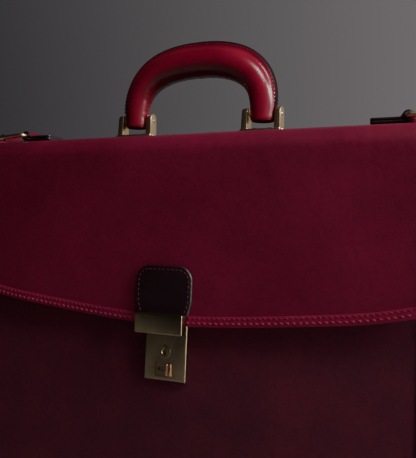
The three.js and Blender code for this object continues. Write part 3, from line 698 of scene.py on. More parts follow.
def hem_stitches(name, profile, outline):
    """Two rows of stitches on the hem, with dark marks sunk between the stitches: painted shade for the
    needle holes.
    """
    solid = Solid()
    for inset, pitch, radius, slot in ((2.7, 5.05, 0.78, 0), (6.5, 4.4, 0.55, 2)):
        line = [profile.pair(x, s, HEM_RISE * 0.95) for x, s in outline(inset)]
        add_stitches(solid, line, pitch, pitch * 0.56, radius, 0.6, 0.05, slot=slot)
        # Painted shade: short dark marks sunk into the gaps between stitches stand in for the shade in the
        # needle holes.
        add_stitches(solid, line, pitch, 1.1, 0.5, 0.0, 0.55, 1.0, 1)
    return solid.make(name, [RED_THREAD, EDGE, FAINT_THREAD])


def bend_cover(profile, replaces, pieces):
    """Bakes a cover's pieces into place and hides the CAD nodes they stand for; the fold's span is worked
    out but not used.
    """
    start, end = profile.fold_span()
    for obj in pieces:
        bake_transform(obj)
        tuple(start)
        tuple(end)
    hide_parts(*replaces)


def front_cover():
    pieces = [
        cover_sheet("flap_cover", FRONT, lambda s: HALF - SHEET_INSET, flap_end),
        hem("flap_hem", FRONT, flap_outline),
        hem_stitches("flap_stitches", FRONT, flap_outline),
    ]
    bend_cover(FRONT, ("flap_leather", "lid_top"), pieces)


def rear_cover():
    end = BACK_END - SHEET_INSET
    pieces = [
        cover_sheet("back_cover", REAR, lambda s: back_half(s) - SHEET_INSET, lambda x: end),
        hem("back_hem", REAR, back_outline),
        hem_stitches("back_stitches", REAR, back_outline),
    ]
    bend_cover(REAR, ("back_panel",), pieces)


LINING_GAP = 0.5
LINING_T = 0.7
LINING_INSET = 3


def lid_lining():
    """The lining under the lid, from fold to fold."""
    rows = [(FRONT, s) for s in spread(FRONT.fold - 1, 0, 14)]
    rows += [(REAR, s) for s in spread(0, REAR.fold - 1, 14)[1:]]

    def point(lift, row, x):
        profile, s = row
        return vec(x, *profile.at(s, lift))

    face = -COVER_T - LINING_GAP
    columns = spread(-HALF + LINING_INSET, HALF - LINING_INSET, 50)
    shape = sheet((face, face - LINING_T), rows, columns, point)
    piece("lid_lining", shape, "lining", "lid")


# ---- Case body ----
PANEL_BULGE = 2.2
PANEL_BULGE_HEIGHT = 170


def panel_surface(x, z, lift=0.0):
    """The front panel's face, a little full below the flap."""
    across = 1 - (x / BODY_HALF) ** 2
    up = sin(pi * min(1.0, max(0.0, (z - PANEL_LOW.z) / PANEL_BULGE_HEIGHT))) ** 2
    uneven = 0.35 * waver(x / 80, z / 60, 21.0)
    uneven += 0.1 * waver(x / 18, z / 18, 5.0)
    return vec(x, PANEL_LOW.y - lift - PANEL_BULGE * max(0.0, across) * up - uneven, z)


def panel_pair(x, z, lift=0.0):
    return panel_surface(x, z, lift), vec(0, -1, 0)


PANEL_EDGE_R = 8
SEAM_INSET = 5  # from an edge to the seam beside it
SEAM_END = 8  # from a corner to the seam's end


def panel_outline(inset):
    """The front panel's sides and bottom, as (x, z) points."""
    corner = (BODY_HALF - PANEL_EDGE_R, PANEL_LOW.z + PANEL_EDGE_R)
    ends = (lambda z: BODY_HALF, lambda x: PANEL_LOW.z)
    return edge_outline(inset, PANEL_EDGE_R, corner, *ends, (70, 8, 70), PANEL_HIGH.z - 0.5, -1)


def front_panel():
    """The panel under the flap, flat on its inner side."""

    def point(inner, z, u):
        lower = max(0.0, PANEL_LOW.z + PANEL_EDGE_R - z)
        half = BODY_HALF - PANEL_EDGE_R + sqrt(max(0.0, PANEL_EDGE_R**2 - lower**2)) - 0.4
        face = panel_surface(u * half, z)
        return vec(face.x, PANEL_HIGH.y, z) if inner else face

    rows = spread(PANEL_LOW.z + 0.4, PANEL_HIGH.z, 81)
    shape = sheet((False, True), rows, spread(-1, 1, 121), point)
    piece("front_panel_leather", shape, "red_leather", "case", ["front_panel"], [SHADED_PANEL_RED])


def panel_trim():
    """The binding round the front panel's sides and bottom, its top hem and their stitches."""
    section = [(0.6, -3.2), (-0.8, -2.6), (-1.1, -1.2), (-0.6, 0.3), (0.6, 0.75), (2.6, 0.8)]
    section += [(4.8, 0.7), (5.3, 0.1), (5.3, -0.5), (1.0, -3.2)]
    binding = strip_along(section, panel_outline, panel_surface)
    piece("panel_binding", binding, "red_leather", "case", materials=[SHADED_PANEL_RED], sharp=55)
    solid = Solid()
    add_stitches(solid, [panel_pair(x, z, 0.78) for x, z in panel_outline(3.2)], *BODY_STITCH)
    columns = spread(-BODY_HALF + SEAM_END, BODY_HALF - SEAM_END, 60)
    add_stitches(solid, [panel_pair(x, PANEL_HIGH.z - SEAM_INSET) for x in columns], *BODY_STITCH)
    piece("panel_stitches", solid, "red_leather", "case", materials=[RED_THREAD])
    lip = [(2.1 * cos(a), 1.5 * sin(a)) for a in round_angles(14)]
    middle = (PANEL_LOW.y + PANEL_HIGH.y) / 2
    rings = []
    for x in spread(-BODY_HALF + 1, BODY_HALF - 1, 60):
        rings.append([vec(x, middle + u, PANEL_HIGH.z - 0.6 + v) for u, v in lip])
    piece("panel_top_roll", loft(rings), "red_leather", "case", materials=[SHADED_PANEL_RED])


GUSSET_T = 1.7
GUSSET_ROOM = 3.2  # what the pleat leaves free of the gusset's width
GUSSET_SEAM = 3.2


def pleat(t):
    """How far in a gusset lies at t across it, as a share of its depth."""
    return (1 - abs(2 * t - 1) ** 1.7) ** 1.15


def gusset(place, side, out):
    """One soft pleat: a curved fold that sinks inwards between two panels."""
    low, high = node_box(f"gusset_{place}_{side}")
    edge = high.x - 0.2 if out > 0 else -low.x - 0.2
    depth = high.x - low.x - GUSSET_ROOM

    def point(layer, z, t):
        flare = 1 - 0.16 * smooth_step(z, high.z - 90, high.z)
        flare -= 0.1 * smooth_step(low.z + 40, z, z + 60)
        wave = 0.9 * waver(z / 45, out * 3.0, len(place))
        x = edge - layer - (depth * flare + wave) * pleat(t)
        return vec(out * x, lerp(low.y, high.y, t), z)

    shape = sheet((0.0, GUSSET_T), spread(low.z, high.z, 60), spread(0, 1, 33), point)
    name = f"gusset_{place}_{side}"
    piece(f"{name}_leather", shape, "red_leather", "case", [name])
    solid = Solid()
    for y in (low.y + GUSSET_SEAM, high.y - GUSSET_SEAM):
        x = out * (edge - depth * 0.95 * pleat((y - low.y) / (high.y - low.y)))
        line = [(vec(x, y, z), vec(out, 0, 0)) for z in spread(low.z + 4, high.z - 4, 40)]
        add_stitches(solid, line, *BODY_STITCH)
    piece(f"{name}_stitches", solid, "red_leather", "case", materials=[RED_THREAD])


def bottom():
    outline = rounded_rectangle(BOTTOM_LOW.x, BOTTOM_HIGH.x, BOTTOM_LOW.y, BOTTOM_HIGH.y, 9)
    slab = rounded_extrusion(outline, BOTTOM_LOW.z, BOTTOM_HIGH.z, 1.2, in_xy)
    piece("bottom_leather", slab, "red_leather", "case", ["bottom_panel"])
    low, high = BOTTOM_LOW, BOTTOM_HIGH
    inset = SEAM_INSET
    line = rounded_rectangle(low.x + inset, high.x - inset, low.y + inset, high.y - inset, 6)
    dense = []
    for a, b in zip(line, line[1:] + line[:1]):
        dense += [a.lerp(b, t) for t in spread(0, 1, 1 + max(1, int((b - a).length / 8)))[:-1]]
    pairs = [(vec(p.x, p.y, low.z), vec(0, 0, -1)) for p in dense + dense[:1]]
    stitches = add_stitches(Solid(), pairs)
    piece("bottom_stitches", stitches, "red_leather", "case", materials=[RED_THREAD])


def divider():
    outline = rounded_rectangle(DIVIDER_LOW.x, DIVIDER_HIGH.x, DIVIDER_LOW.z, DIVIDER_HIGH.z, 5)
    slab = rounded_extrusion(outline, DIVIDER_LOW.y, DIVIDER_HIGH.y, 0.7, in_xz)
    piece("divider_panel", slab, "lining", "case", ["divider"])
    solid = Solid()
    z = DIVIDER_HIGH.z - SEAM_INSET
    columns = spread(DIVIDER_LOW.x + SEAM_END, DIVIDER_HIGH.x - SEAM_END, 40)
    for y, out in ((DIVIDER_LOW.y, -1), (DIVIDER_HIGH.y, 1)):
        add_stitches(solid, [(vec(x, y, z), vec(0, out, 0)) for x in columns])
    piece("divider_stitches", solid, "lining", "case", materials=[RED_THREAD])


POCKET_T = 1.3


def pocket():
    """The slip pocket: a soft front wall on three sewn edges, open at the top."""

    def point(layer, t, u):
        full = (1 - u**8) * (1 - (1 - t) ** 6)
        sag = 0.6 * waver(u * 2.5, t * 2.0, 1.0)
        y = lerp(POCKET_HIGH.y - 1.6, POCKET_LOW.y + 0.7 + sag * t, full) + layer
        return vec(u * POCKET_HIGH.x, y, lerp(POCKET_LOW.z, POCKET_HIGH.z, t))

    shape = sheet((0.0, POCKET_T), spread(0, 1, 40), spread(-1, 1, 60), point)
    piece("pocket_wall", shape, "lining", "case", ["slip_pocket"])


def foot(index):
    low, high = node_box(f"foot_{index}")
    r = (high.x - low.x) / 2
    profile = [(0.01, 0), (3.6, 0.05), (5.4, 0.7), (r - 0.3, 1.9), (r, 3.1), (r - 0.1, 4.5), (1.8, 4.7)]
    profile += [(1.8, high.z), (0.01, high.z)]
    dome = turned(rounded_profile(profile), middle_of(low, high, z=0), in_xy, 40)
    piece(f"foot_{index}_dome", dome, "brass", "case", [f"foot_{index}"])


# ---- Closure: tab, hasp and lock ----
LOCK_WALL = 3.0
TAB_TOP_R = 12
TAB_T = 3.3
TAB_GAP = 0.2
TAB_LIFT = 0.9  # where it passes over the flap's hem
TAB_NECK = 24.4
TAB_SHOULDER = 5  # how much narrower each side is behind the bar
TAB_DOME = 0.5
TAB_STITCH_INSET = 3.1


def tab_half(z):
    """Half the tab's width at a height: round at the top, narrowing to the hasp."""
    top = TAB_HIGH.z - z
    width = lerp(TAB_NECK, TAB_HIGH.x, smooth_step(z, HASP_HIGH.z - 2, HASP_HIGH.z + 12))
    width -= TAB_SHOULDER * (1 - smooth_step(z, HASP_HIGH.z - 3.5, HASP_HIGH.z))
    if top >= TAB_TOP_R:
        return width
    return width - TAB_TOP_R + sqrt(max(0.0, TAB_TOP_R**2 - (TAB_TOP_R - top) ** 2))


def tab_face_y(z):
    """The tab's front, flat on the flap above and lifting over its hem."""
    lift = TAB_LIFT * (1 - smooth_step(z, HASP_HIGH.z - 4, HASP_HIGH.z + 8))
    return FLAP_LOW.y - TAB_GAP - TAB_T - lift


def tab_row(z, inset):
    """Points across the tab's face at a height, inset from its edge."""
    half = max(0.2, tab_half(z) - inset)
    row = []
    for u in spread(-1, 1, 25):
        dome = TAB_DOME * (1 - abs(u) ** 3) * (1 - inset / 6)
        row.append(vec(u * half, tab_face_y(z) - dome, z))
    return row


TAB_EDGE_STEPS = 7


def tab_body(solid):
    """The tab's leather, with its painted edge rounded over in the second slot."""
    r = TAB_T / 2
    heights = [TAB_HIGH.z - 0.05]
    heights += [TAB_HIGH.z - TAB_TOP_R * (1 - cos(a)) for a in spread(0, pi / 2, 12)[1:]]
    heights += spread(TAB_HIGH.z - TAB_TOP_R, TAB_LOW.z, 40)[1:]
    rings = []
    for z in heights:
        face = tab_row(z, r)
        half = max(0.2, tab_half(z) - r)
        y = tab_face_y(z)
        arc = spread(0, pi, TAB_EDGE_STEPS + 2)[1:-1]
        right = [vec(half + r * sin(a), y + r - r * cos(a), z) for a in arc]
        rear = [vec(p.x, y + TAB_T, z) for p in reversed(face)]
        left = [vec(-p.x, p.y, z) for p in reversed(right)]
        rings.append(face + right + rear + left)
    verts, faces = loft(rings)
    ring = len(rings[0])
    columns = (ring - 2 * TAB_EDGE_STEPS) // 2
    painted = set(range(columns, columns + TAB_EDGE_STEPS)) | set(range(ring - TAB_EDGE_STEPS, ring))
    slots = [1 if painted & {i % ring for i in face} else 0 for face in faces]
    solid.add(verts, faces, slots)


def closure_tab():
    solid = Solid()
    tab_body(solid)
    piece("tab_leather", solid, "dark_leather", "flap", ["closure_tab"], [DARK, EDGE], 50)
    inset = TAB_STITCH_INSET
    line = []  # the left half, upwards, with y still 0
    for z in spread(HASP_HIGH.z + 0.5, TAB_HIGH.z - TAB_TOP_R, 14):
        neck = 1.2 * (1 - smooth_step(z, HASP_HIGH.z, HASP_HIGH.z + 8))
        line.append(vec(-(tab_half(z) - inset - neck), 0, z))
    corner = TAB_TOP_R - inset
    centre = vec(TAB_TOP_R - TAB_HIGH.x, 0, TAB_HIGH.z - TAB_TOP_R)
    for a in spread(0, pi / 2, 9)[1:]:
        line.append(centre + vec(-corner * cos(a), 0, corner * sin(a)))
    line += [vec(-p.x, 0, p.z) for p in reversed(line)]
    pairs = []
    for p in line:
        p.y = tab_face_y(p.z) - TAB_DOME * (1 - abs(p.x / tab_half(p.z)) ** 3)
        slope = tab_face_y(p.z + 1) - tab_face_y(p.z - 1)
        pairs.append((p, vec(0, -1, slope / 2).normalized()))
    stitches = add_stitches(Solid(), pairs, pitch=4.1, length=2.9, radius=0.36, slant=0.2)
    piece("tab_stitches", stitches, "dark_leather", "flap", materials=[TAB_THREAD])


def thumb_slide():
    """The lock's slide: a low plate with two upright ridges for the thumb, and a shutter behind."""
    low, high = THUMB_LOW, THUMB_HIGH
    solid = Solid()

    def add_block(x0, x1, z0, z1, r, front, back, bevel):
        solid.add(*rounded_extrusion(rounded_rectangle(x0, x1, z0, z1, r), front, back, bevel, in_xz))

    add_block(low.x, high.x, low.z, high.z, 0.8, low.y + 1.5, low.y + 3.1, 0.3)
    for start, end in ((0.2, 2.3), (3.7, 5.8)):
        add_block(low.x + start, low.x + end, low.z + 0.5, high.z - 0.5, 0.7, low.y, low.y + 1.7, 0.6)
    stem = middle_of(low, high)
    add_block(stem.x - 1, stem.x + 1, stem.z - 1, stem.z + 1, 0.3, low.y + 2.9, high.y, 0.1)
    piece("thumb_slide", solid, "lock_brass", "slide", ["slide_thumb"], [BRONZE], 30)
    solid = Solid()
    wall = LOCK_LOW.y + LOCK_WALL
    add_block(low.x - 9, high.x + 7.5, stem.z - 2.6, stem.z + 2.6, 0.4, wall + 0.04, wall + 0.24, 0.05)
    piece("slide_shutter", solid, "lock_brass", "slide")


def circle(cu, cv, r, count):
    return [vec(cu + r * cos(a), cv + r * sin(a)) for a in round_angles(count)]


def keyhole_outline(count, scale):
    """A round hole with a slot below it, as seen from the front."""
    points = []
    for a in round_angles(count):
        u, v = cos(a) * 1.25, sin(a) * 1.25 + 0.7
        if v < 0.1:
            u = 0.62 * copysign(min(1.0, abs(u) * 2.2), u)
            v = -0.1 - 2.5 * smooth_step(-sin(a), 0.3, 0.8)
        points.append(vec(u * scale, v * scale))
    return points


def key_plug():
    """The lock's cylinder: a raised round rim, a dished face and a keyhole."""
    low, high = node_box("key_cylinder")
    centre = middle_of(low, high)
    r = (high.x - low.x) / 2
    count = 48
    rings = []

    def add_ring(outline, depth):
        rings.append([in_xz(p.x, p.y, depth) for p in outline])

    for radius, depth in ((0.3, high.y), (r - 0.2, high.y), (r, high.y - 0.2)):
        add_ring(circle(centre.x, centre.z, radius, count), depth)
    for radius, depth in ((r, 0.55), (r - 0.12, 0.2), (r - 0.45, 0.0), (r - 0.8, 0.12), (r - 1.05, 0.5)):
        add_ring(circle(centre.x, centre.z, radius, count), low.y + depth)
    for scale, depth in ((1.2, 0.7), (1.08, 0.25), (1.0, 0.3), (0.96, 2.2)):
        hole = [vec(centre.x + p.x, centre.z + p.y) for p in keyhole_outline(count, scale)]
        add_ring(hole, low.y + depth)
    piece("key_plug", loft(rings), "lock_brass", "key", ["key_cylinder"], sharp=30)


# ---- Handle and its brackets ----
HANDLE_REACH = (BRACKET_LOW.x + BRACKET_HIGH.x) / 2
HANDLE_BASE = BRACKET_LOW.z
GRIP_R = 11.8
GRIP_SWELL = 2.1  # the padding is fuller in the middle
GRIP_FLATNESS = 0.9
GRIP_TOP = 64.6
GRIP_SHOULDER = 21
GRIP_END = 8.8
ARCH_POWER = 2.35
FLANGE_REACH = 18.4
FLANGE_HALF = 2.9
FLANGE_FADE = 62
GRIP_STATIONS = 150
GRIP_SEAM_START = 12  # from each end of the grip
LIP_ANGLE = radians(38)  # half the arc that the lip takes up where it lies against the grip


def handle_line():
    """The grip's centreline at equal steps: point, way out, distance from the nearer end, and along it."""
    raw = [vec(HANDLE_REACH, 0, z) for z in spread(GRIP_END, GRIP_SHOULDER, 9)[:-1]]
    rise = GRIP_TOP - GRIP_SHOULDER
    for a in spread(0, pi, 241):
        c = cos(a)
        x = HANDLE_REACH * copysign(abs(c) ** (2 / ARCH_POWER), c)
        raw.append(vec(x, 0, GRIP_SHOULDER + rise * abs(sin(a)) ** (2 / ARCH_POWER)))
    raw += [vec(-p.x, 0, p.z) for p in reversed(raw[:8])]
    path = Path([(p, vec(0, -1, 0)) for p in raw])
    total = path.lengths[-1]
    stations = []
    for d in spread(0, total, GRIP_STATIONS):
        point = path.at(d)[0]
        ahead = path.at(min(total, d + 2))[0]
        behind = path.at(max(0, d - 2))[0]
        along = (ahead - behind).normalized()
        stations.append((point, vec(along.z, 0, -along.x), min(d, total - d), d))
    return stations


GRIP_BODY_ANGLES = spread(radians(40), radians(320), 33)


def lip_side(r):
    """The sewn lip's outline on one side, for a body of radius r."""
    h = FLANGE_HALF
    reach = FLANGE_REACH
    side = [(r * 0.86, h + 2.6), (r * 0.94, h + 1.1), (r + 0.5, h + 0.3), (lerp(r, reach, 0.5), h)]
    side += [(reach - 1.6, h - 0.1), (reach - 0.6, h - 0.5), (reach, h - 1.3)]
    return side + [(reach - 0.1, 0.9), (reach - 0.7, 0.25)]


def flange_share(from_end):
    """How far the lip stands out: it grows from the grip's ends."""
    return lerp(0.1, 1.0, smooth_step(from_end, 6, FLANGE_FADE))


def grip_ring(station):
    """The grip's outline at a station: the padded body first, then the lip's two sides."""
    point, out, from_end, distance = station
    body_r = GRIP_R + GRIP_SWELL * smooth_step(from_end, 22, 80)
    end = min(1.0, from_end / 3.0)
    size = 0.9 + 0.1 * sqrt(1 - (1 - end) ** 2)
    size *= lerp(0.9, 1.0, smooth_step(from_end, 0, 24))
    ring = []

    def place(u, v):
        at = point + out * u * size + vec(0, 1, 0) * v * size * GRIP_FLATNESS
        ring.append(at + vec(0, 0, HANDLE_BASE))

    for angle in GRIP_BODY_ANGLES:
        inner = max(0.0, -cos(angle))
        crease = waver(distance / 2.6, angle * 1.5, 2.0) * 0.34 * inner
        swell = waver(distance / 30, angle, 8.0) * 0.25
        radius = body_r + swell + crease
        place(radius * cos(angle), radius * sin(angle))
    side = lip_side(body_r)
    full = [(u, -v) for u, v in side] + side[::-1]
    share = flange_share(from_end)
    for (u, v), angle in zip(full, spread(-LIP_ANGLE, LIP_ANGLE, len(full))):
        place(lerp(body_r * cos(angle), u, share), lerp(body_r * sin(angle), v, share))
    return ring


def handle_grip():
    stations = handle_line()
    verts, faces = loft([grip_ring(s) for s in stations])
    ring = len(verts) // len(stations)
    painted = range(ring - 14, ring - 4)
    slots = [1 if k % ring in painted else 0 for k in range(len(faces) - 2)] + [2, 2]
    solid = Solid().add(verts, faces, slots)
    looks = [LIT_HANDLE_RED, GRIP_EDGE, DARK_END_RED]
    obj = piece("handle_leather", solid, "red_leather", "handle", ["handle_grip"], looks, 50)
    # Painted shade: the grip's side that faces in under the arch, towards the lid, is darkened, fading out
    # near its ends.
    painted_shade = obj.data.attributes.new("painted_shade", "FLOAT", "POINT")
    shade_amounts = []
    for _, _, from_end, _ in stations:
        strength = 0.85 * smooth_step(from_end, 18, 60)
        shade_amounts += [strength * smooth_step(-cos(a), 0.05, 0.8) for a in GRIP_BODY_ANGLES]
        shade_amounts += [0.0] * (ring - len(GRIP_BODY_ANGLES))
    painted_shade.data.foreach_set("value", shade_amounts)


def handle_stitches():
    """A row of stitches on each side of the grip's lip."""
    stations = [station for station in handle_line() if station[2] >= GRIP_SEAM_START]
    solid = Solid()
    for side in (-1, 1):
        line = []
        for point, out, from_end, _ in stations:
            share = flange_share(from_end)
            u = lerp(GRIP_R * 0.94, FLANGE_REACH - 2.5, share)
            v = lerp(GRIP_R * 0.36, FLANGE_HALF, share) * GRIP_FLATNESS
            at = point + out * u + vec(0, side * v, HANDLE_BASE)
            line.append((at, vec(0, side, 0)))
        add_stitches(solid, line, pitch=3.3, length=2.3, radius=0.5, slant=0.8, sink=0.05)
    piece("handle_stitches", solid, "red_leather", "handle", materials=[GRIP_THREAD])


EAR_T = 5.6
EAR_GAP = 24.6
EAR_TOP_R = 4.7


def bracket(place):
    """A base plate with thin feet and two tapered ears with round tops."""
    low, high = node_box(f"handle_bracket_{place}")
    middle = (low.x + high.x) / 2
    height = high.z - low.z
    solid = Solid()
    reach = EAR_GAP / 2 + EAR_T + 0.6
    plate = rounded_rectangle(middle - reach, middle + reach, low.y, high.y, 1.5)
    solid.add(*rounded_extrusion(plate, low.z, low.z + 2, 0.4, in_xy))
    feet = rounded_rectangle(low.x, high.x, low.y + 0.8, high.y - 0.8, 2.5)
    solid.add(*rounded_extrusion(feet, low.z, low.z + 1.1, 0.4, in_xy))
    outline = [vec(-5.4, 1.6), vec(5.4, 1.6)]
    for a in spread(0, pi, 17):
        outline.append(vec(EAR_TOP_R * cos(a), height - EAR_TOP_R + EAR_TOP_R * sin(a)))
    for side in (-1, 1):
        ear_x = middle + side * (EAR_GAP + EAR_T) / 2

        def ear_point(u, v, depth, ear_x=ear_x):
            return vec(ear_x + depth * (1 - 0.1 * v / height), u, low.z + v)

        solid.add(*rounded_extrusion(outline, -EAR_T / 2, EAR_T / 2, 0.5, ear_point))
    name = f"handle_bracket_{place}"
    piece(f"bracket_{place}", solid, "brass", "lid", [name], sharp=35)


def pin(place):
    low, high = node_box(f"pivot_pin_{place}")
    r = (high.z - low.z) / 2
    profile = [(0.01, low.x - 0.2), (r * 0.7, low.x), (r, low.x + 0.5)]
    profile += [(r, high.x - 0.5), (r * 0.7, high.x), (0.01, high.x + 0.2)]
    shape = turned(rounded_profile(profile), middle_of(low, high, x=0), in_yz, 28)
    piece(f"pin_{place}", shape, "brass", "lid", [f"pivot_pin_{place}"])


def screw(index):
    low, high = node_box(f"bracket_screw_{index}")
    z = high.z
    profile = [(0.01, low.z), (1.6, low.z), (1.6, z - 1.2), (2.9, z - 1.2), (2.8, z - 0.7)]
    profile += [(2.1, z - 0.15), (0.9, z), (0.7, z - 0.6), (0.01, z - 0.6)]
    shape = turned(rounded_profile(profile, 0.08), middle_of(low, high, z=0), in_xy, 28)
    piece(f"screw_{index}", shape, "brass", "lid", [f"bracket_screw_{index}"])


# ---- Rings, chapes and side straps ----
WIRE_R = 2.2
STRAP_PLY = 2.2
LOOP_R = WIRE_R + 0.4
RING_BAR_X = CHAPE_HIGH.x - LOOP_R - STRAP_PLY
RING_BAR_Z = CHAPE_LOW.z + LOOP_R + STRAP_PLY
OUTER_BAR_X = (STRAP_LOW.x + STRAP_HIGH.x) / 2
OUTER_BAR_Z = STRAP_HIGH.z - LOOP_R - STRAP_PLY
STRAP_HALF = STRAP_HIGH.y
STRAP_STITCH_INSET = 2.6


def wire_ring(place, out):
    """A rectangular ring of round wire with its corners bent on a small radius."""
    inner = vec(RING_BAR_X, 0, RING_BAR_Z)
    outer = vec(OUTER_BAR_X, 0, OUTER_BAR_Z)
    along = (outer - inner).normalized()
    up = vec(-along.z, 0, along.x)
    reach = (outer - inner).length
    half = RING_HIGH.y - WIRE_R
    outline = rounded_rectangle(0, reach, -half, half, 3.4, 8)
    rings = []
    for before, p, after in zip(outline[-1:] + outline[:-1], outline, outline[1:] + outline[:1]):
        d = (after - before).normalized()
        normal = along * d.y - vec(0, 1, 0) * d.x
        centre = inner + along * p.x + vec(0, p.y, 0)
        arms = [normal * cos(a) + up * sin(a) for a in round_angles(20)]
        points = [centre + arm * WIRE_R for arm in arms]
        rings.append([vec(out * point.x, point.y, point.z) for point in points])
    shape = loft(rings, loop=True)
    piece(f"ring_{place}", shape, "brass", f"ring_{place}", [f"strap_ring_{place}"])


def folded_band(centres, half_at, point):
    """A strap's leather along a line of (u, v, normal u, normal v), its edges painted in the second slot.

    half_at(u) is half its width, and point turns (u, y, v) into a place."""
    section = [(-1.0, 0.5), (-0.97, 0.9), (-0.9, 1.0), (0.9, 1.0), (0.97, 0.9), (1.0, 0.5)]
    section += [(-across, -out) for across, out in section]
    rings = []
    for u, v, nu, nv in centres:
        ring = []
        for across, out in section:
            shift = out * STRAP_PLY / 2
            ring.append(point(u + nu * shift, across * half_at(u), v + nv * shift))
        rings.append(ring)
    verts, faces = loft(rings)
    size = len(section)
    flat = {(2, 3), (8, 9)}
    slots = [0 if tuple(sorted({i % size for i in face})) in flat else 1 for face in faces]
    return Solid().add(verts, faces, slots)


def bend(r, start, end, count):
    """A centreline's points round a bar at the origin."""
    return [(r * cos(a), r * sin(a), cos(a), sin(a)) for a in spread(start, end, count)]


def chape_line(reach, tilt):
    """The centreline of a strap folded round a bar at the origin: lower ply out, upper ply back."""
    r = LOOP_R + STRAP_PLY / 2
    line = [(u, -r, 0.0, -1.0) for u in spread(-reach, -1.0, 16)]
    line += bend(r, -pi / 2, pi / 2 + tilt, 20)
    u, v, nu, nv = line[-1]
    settle = -r + STRAP_PLY + 0.15
    waist = u - (v - settle) / tan(tilt)
    for t in spread(0, 1, 5)[1:-1]:
        line.append((lerp(u, waist, t), lerp(v, settle + 0.3, t), nu, nv))
    line.append((waist, settle + 0.35, -sin(tilt / 2), cos(tilt / 2)))
    line += [(uu, settle, 0.0, 1.0) for uu in spread(waist - 1.2, -reach, 14)]
    return line


def strap_stitches(name, body, corners, place, normal):
    """A row of stitches from corner to corner of a strap."""
    pairs = []
    for a, b in zip(corners, corners[1:]):
        pairs += [(place(lerp(a[0], b[0], t), lerp(a[1], b[1], t)), normal) for t in spread(0, 1, 8)]
    stitches = add_stitches(Solid(), pairs, *STRAP_STITCH)
    piece(name, stitches, "red_leather", body, materials=[RED_THREAD])


CHAPE_CORNER_R = 2.2
CHAPE_SEAM_START = 9  # from the ring's bar
RIVET_IN = 8  # from the chape's end


def chape(place, out):
    """The leather that holds a ring on the lid: two plies with painted edges, stitched and riveted."""
    length = RING_BAR_X - CHAPE_LOW.x

    def point(u, y, v):
        return vec(out * (RING_BAR_X + u), y, RING_BAR_Z + v)

    def half_at(u):
        """The chape's end has round corners."""
        from_tip = min(1.0, (u + length) / CHAPE_CORNER_R + 0.02)
        return STRAP_HALF - CHAPE_CORNER_R * (1 - sqrt(1 - (1 - from_tip) ** 2))

    name = f"chape_{place}"
    band = folded_band(chape_line(length, 1.0), half_at, point)
    piece(name, band, "red_leather", "lid", [f"ring_{name}"], [RED, EDGE], 50)
    top = RING_BAR_Z - LOOP_R + STRAP_PLY + 0.15
    start = RING_BAR_X - CHAPE_SEAM_START
    end = CHAPE_LOW.x + STRAP_STITCH_INSET
    side = STRAP_HALF - STRAP_STITCH_INSET
    corners = [(start, -side), (end, -side), (end, side), (start, side)]
    up = vec(0, 0, 1)
    strap_stitches(f"{name}_stitches", "lid", corners, lambda x, y: vec(out * x, y, top), up)
    profile = rounded_profile([(0.01, 1.1), (1.6, 0.95), (2.6, 0.35), (2.7, 0.0), (0.01, 0.0)], 0.1)
    rivet = turned(profile, vec(out * (CHAPE_LOW.x + RIVET_IN), 0, top), in_xy, 28)
    piece(f"{name}_rivet", rivet, "brass", "lid")


LOOP_END = -16  # where the strap's two plies meet, measured up from the ring's bar


def side_strap(place, out):
    """The strap that hangs from a ring and snaps to the end of the case."""
    drop = OUTER_BAR_Z - STRAP_LOW.z
    r = LOOP_R + STRAP_PLY / 2
    ply = STRAP_PLY / 2 + 0.05
    line = [(-ply, v, -1.0, 0.0) for v in spread(-drop, LOOP_END, 10)]
    for t in spread(0, 1, 7)[1:]:
        line.append((-lerp(ply, r, smooth_step(t, 0, 1)), lerp(LOOP_END, -1, t), -1.0, 0.0))
    line += bend(r, pi, 0, 18)
    for t in spread(0, 1, 7)[1:]:
        line.append((lerp(r, ply, smooth_step(t, 0, 1)), lerp(-1, LOOP_END, t), 1.0, 0.0))
    line += [(ply, v, 1.0, 0.0) for v in spread(LOOP_END, -drop, 10)[1:]]

    def point(u, y, v):
        return vec(out * (OUTER_BAR_X + u), y, OUTER_BAR_Z + v)

    name = f"strap_{place}"
    band = folded_band(line, lambda u: STRAP_HALF, point)
    piece(name, band, "red_leather", name, [f"side_{name}"], [RED, EDGE], 50)
    face = out * (OUTER_BAR_X + ply + STRAP_PLY / 2)
    low_z = STRAP_LOW.z + STRAP_STITCH_INSET
    high_z = OUTER_BAR_Z + LOOP_END + 1
    side = STRAP_HALF - STRAP_STITCH_INSET
    corners = [(-side, high_z), (-side, low_z), (side, low_z), (side, high_z), (-side, high_z)]
    outward = vec(out, 0, 0)
    strap_stitches(f"{name}_stitches", name, corners, lambda y, z: vec(face, y, z), outward)


def stud(place, out):
    """The stud's cap on the strap, and its post on the end of the case."""
    cap_low, cap_high = node_box(f"stud_cap_{place}")
    post_low, post_high = node_box(f"stud_post_{place}")

    def place_out(u, v, depth):
        return vec(out * depth, u, v)

    r = (cap_high.z - cap_low.z) / 2
    face = OUTER_BAR_X + STRAP_PLY + 0.1
    profile = [(0.01, face + 2.4), (2.4, face + 2.3), (3.0, face + 1.9), (r - 0.8, face + 1.6)]
    profile += [(r, face + 0.7), (r - 0.2, face), (0.01, face)]
    cap = turned(rounded_profile(profile, 0.2), middle_of(cap_low, cap_high, x=0), place_out, 36)
    piece(f"stud_{place}", cap, "brass", f"strap_{place}", [f"stud_cap_{place}"])
    start, end = sorted((abs(post_low.x), abs(post_high.x)))
    profile = [(0.01, start), (4.5, start), (4.5, start + 1.6), (2.6, start + 2.6), (2.3, end - 2.2)]
    profile += [(2.8, end - 1.2), (2.2, end), (0.01, end)]
    post = turned(rounded_profile(profile, 0.2), middle_of(post_low, post_high, x=0), place_out, 32)
    piece(f"post_{place}", post, "brass", "case", [f"stud_post_{place}"])


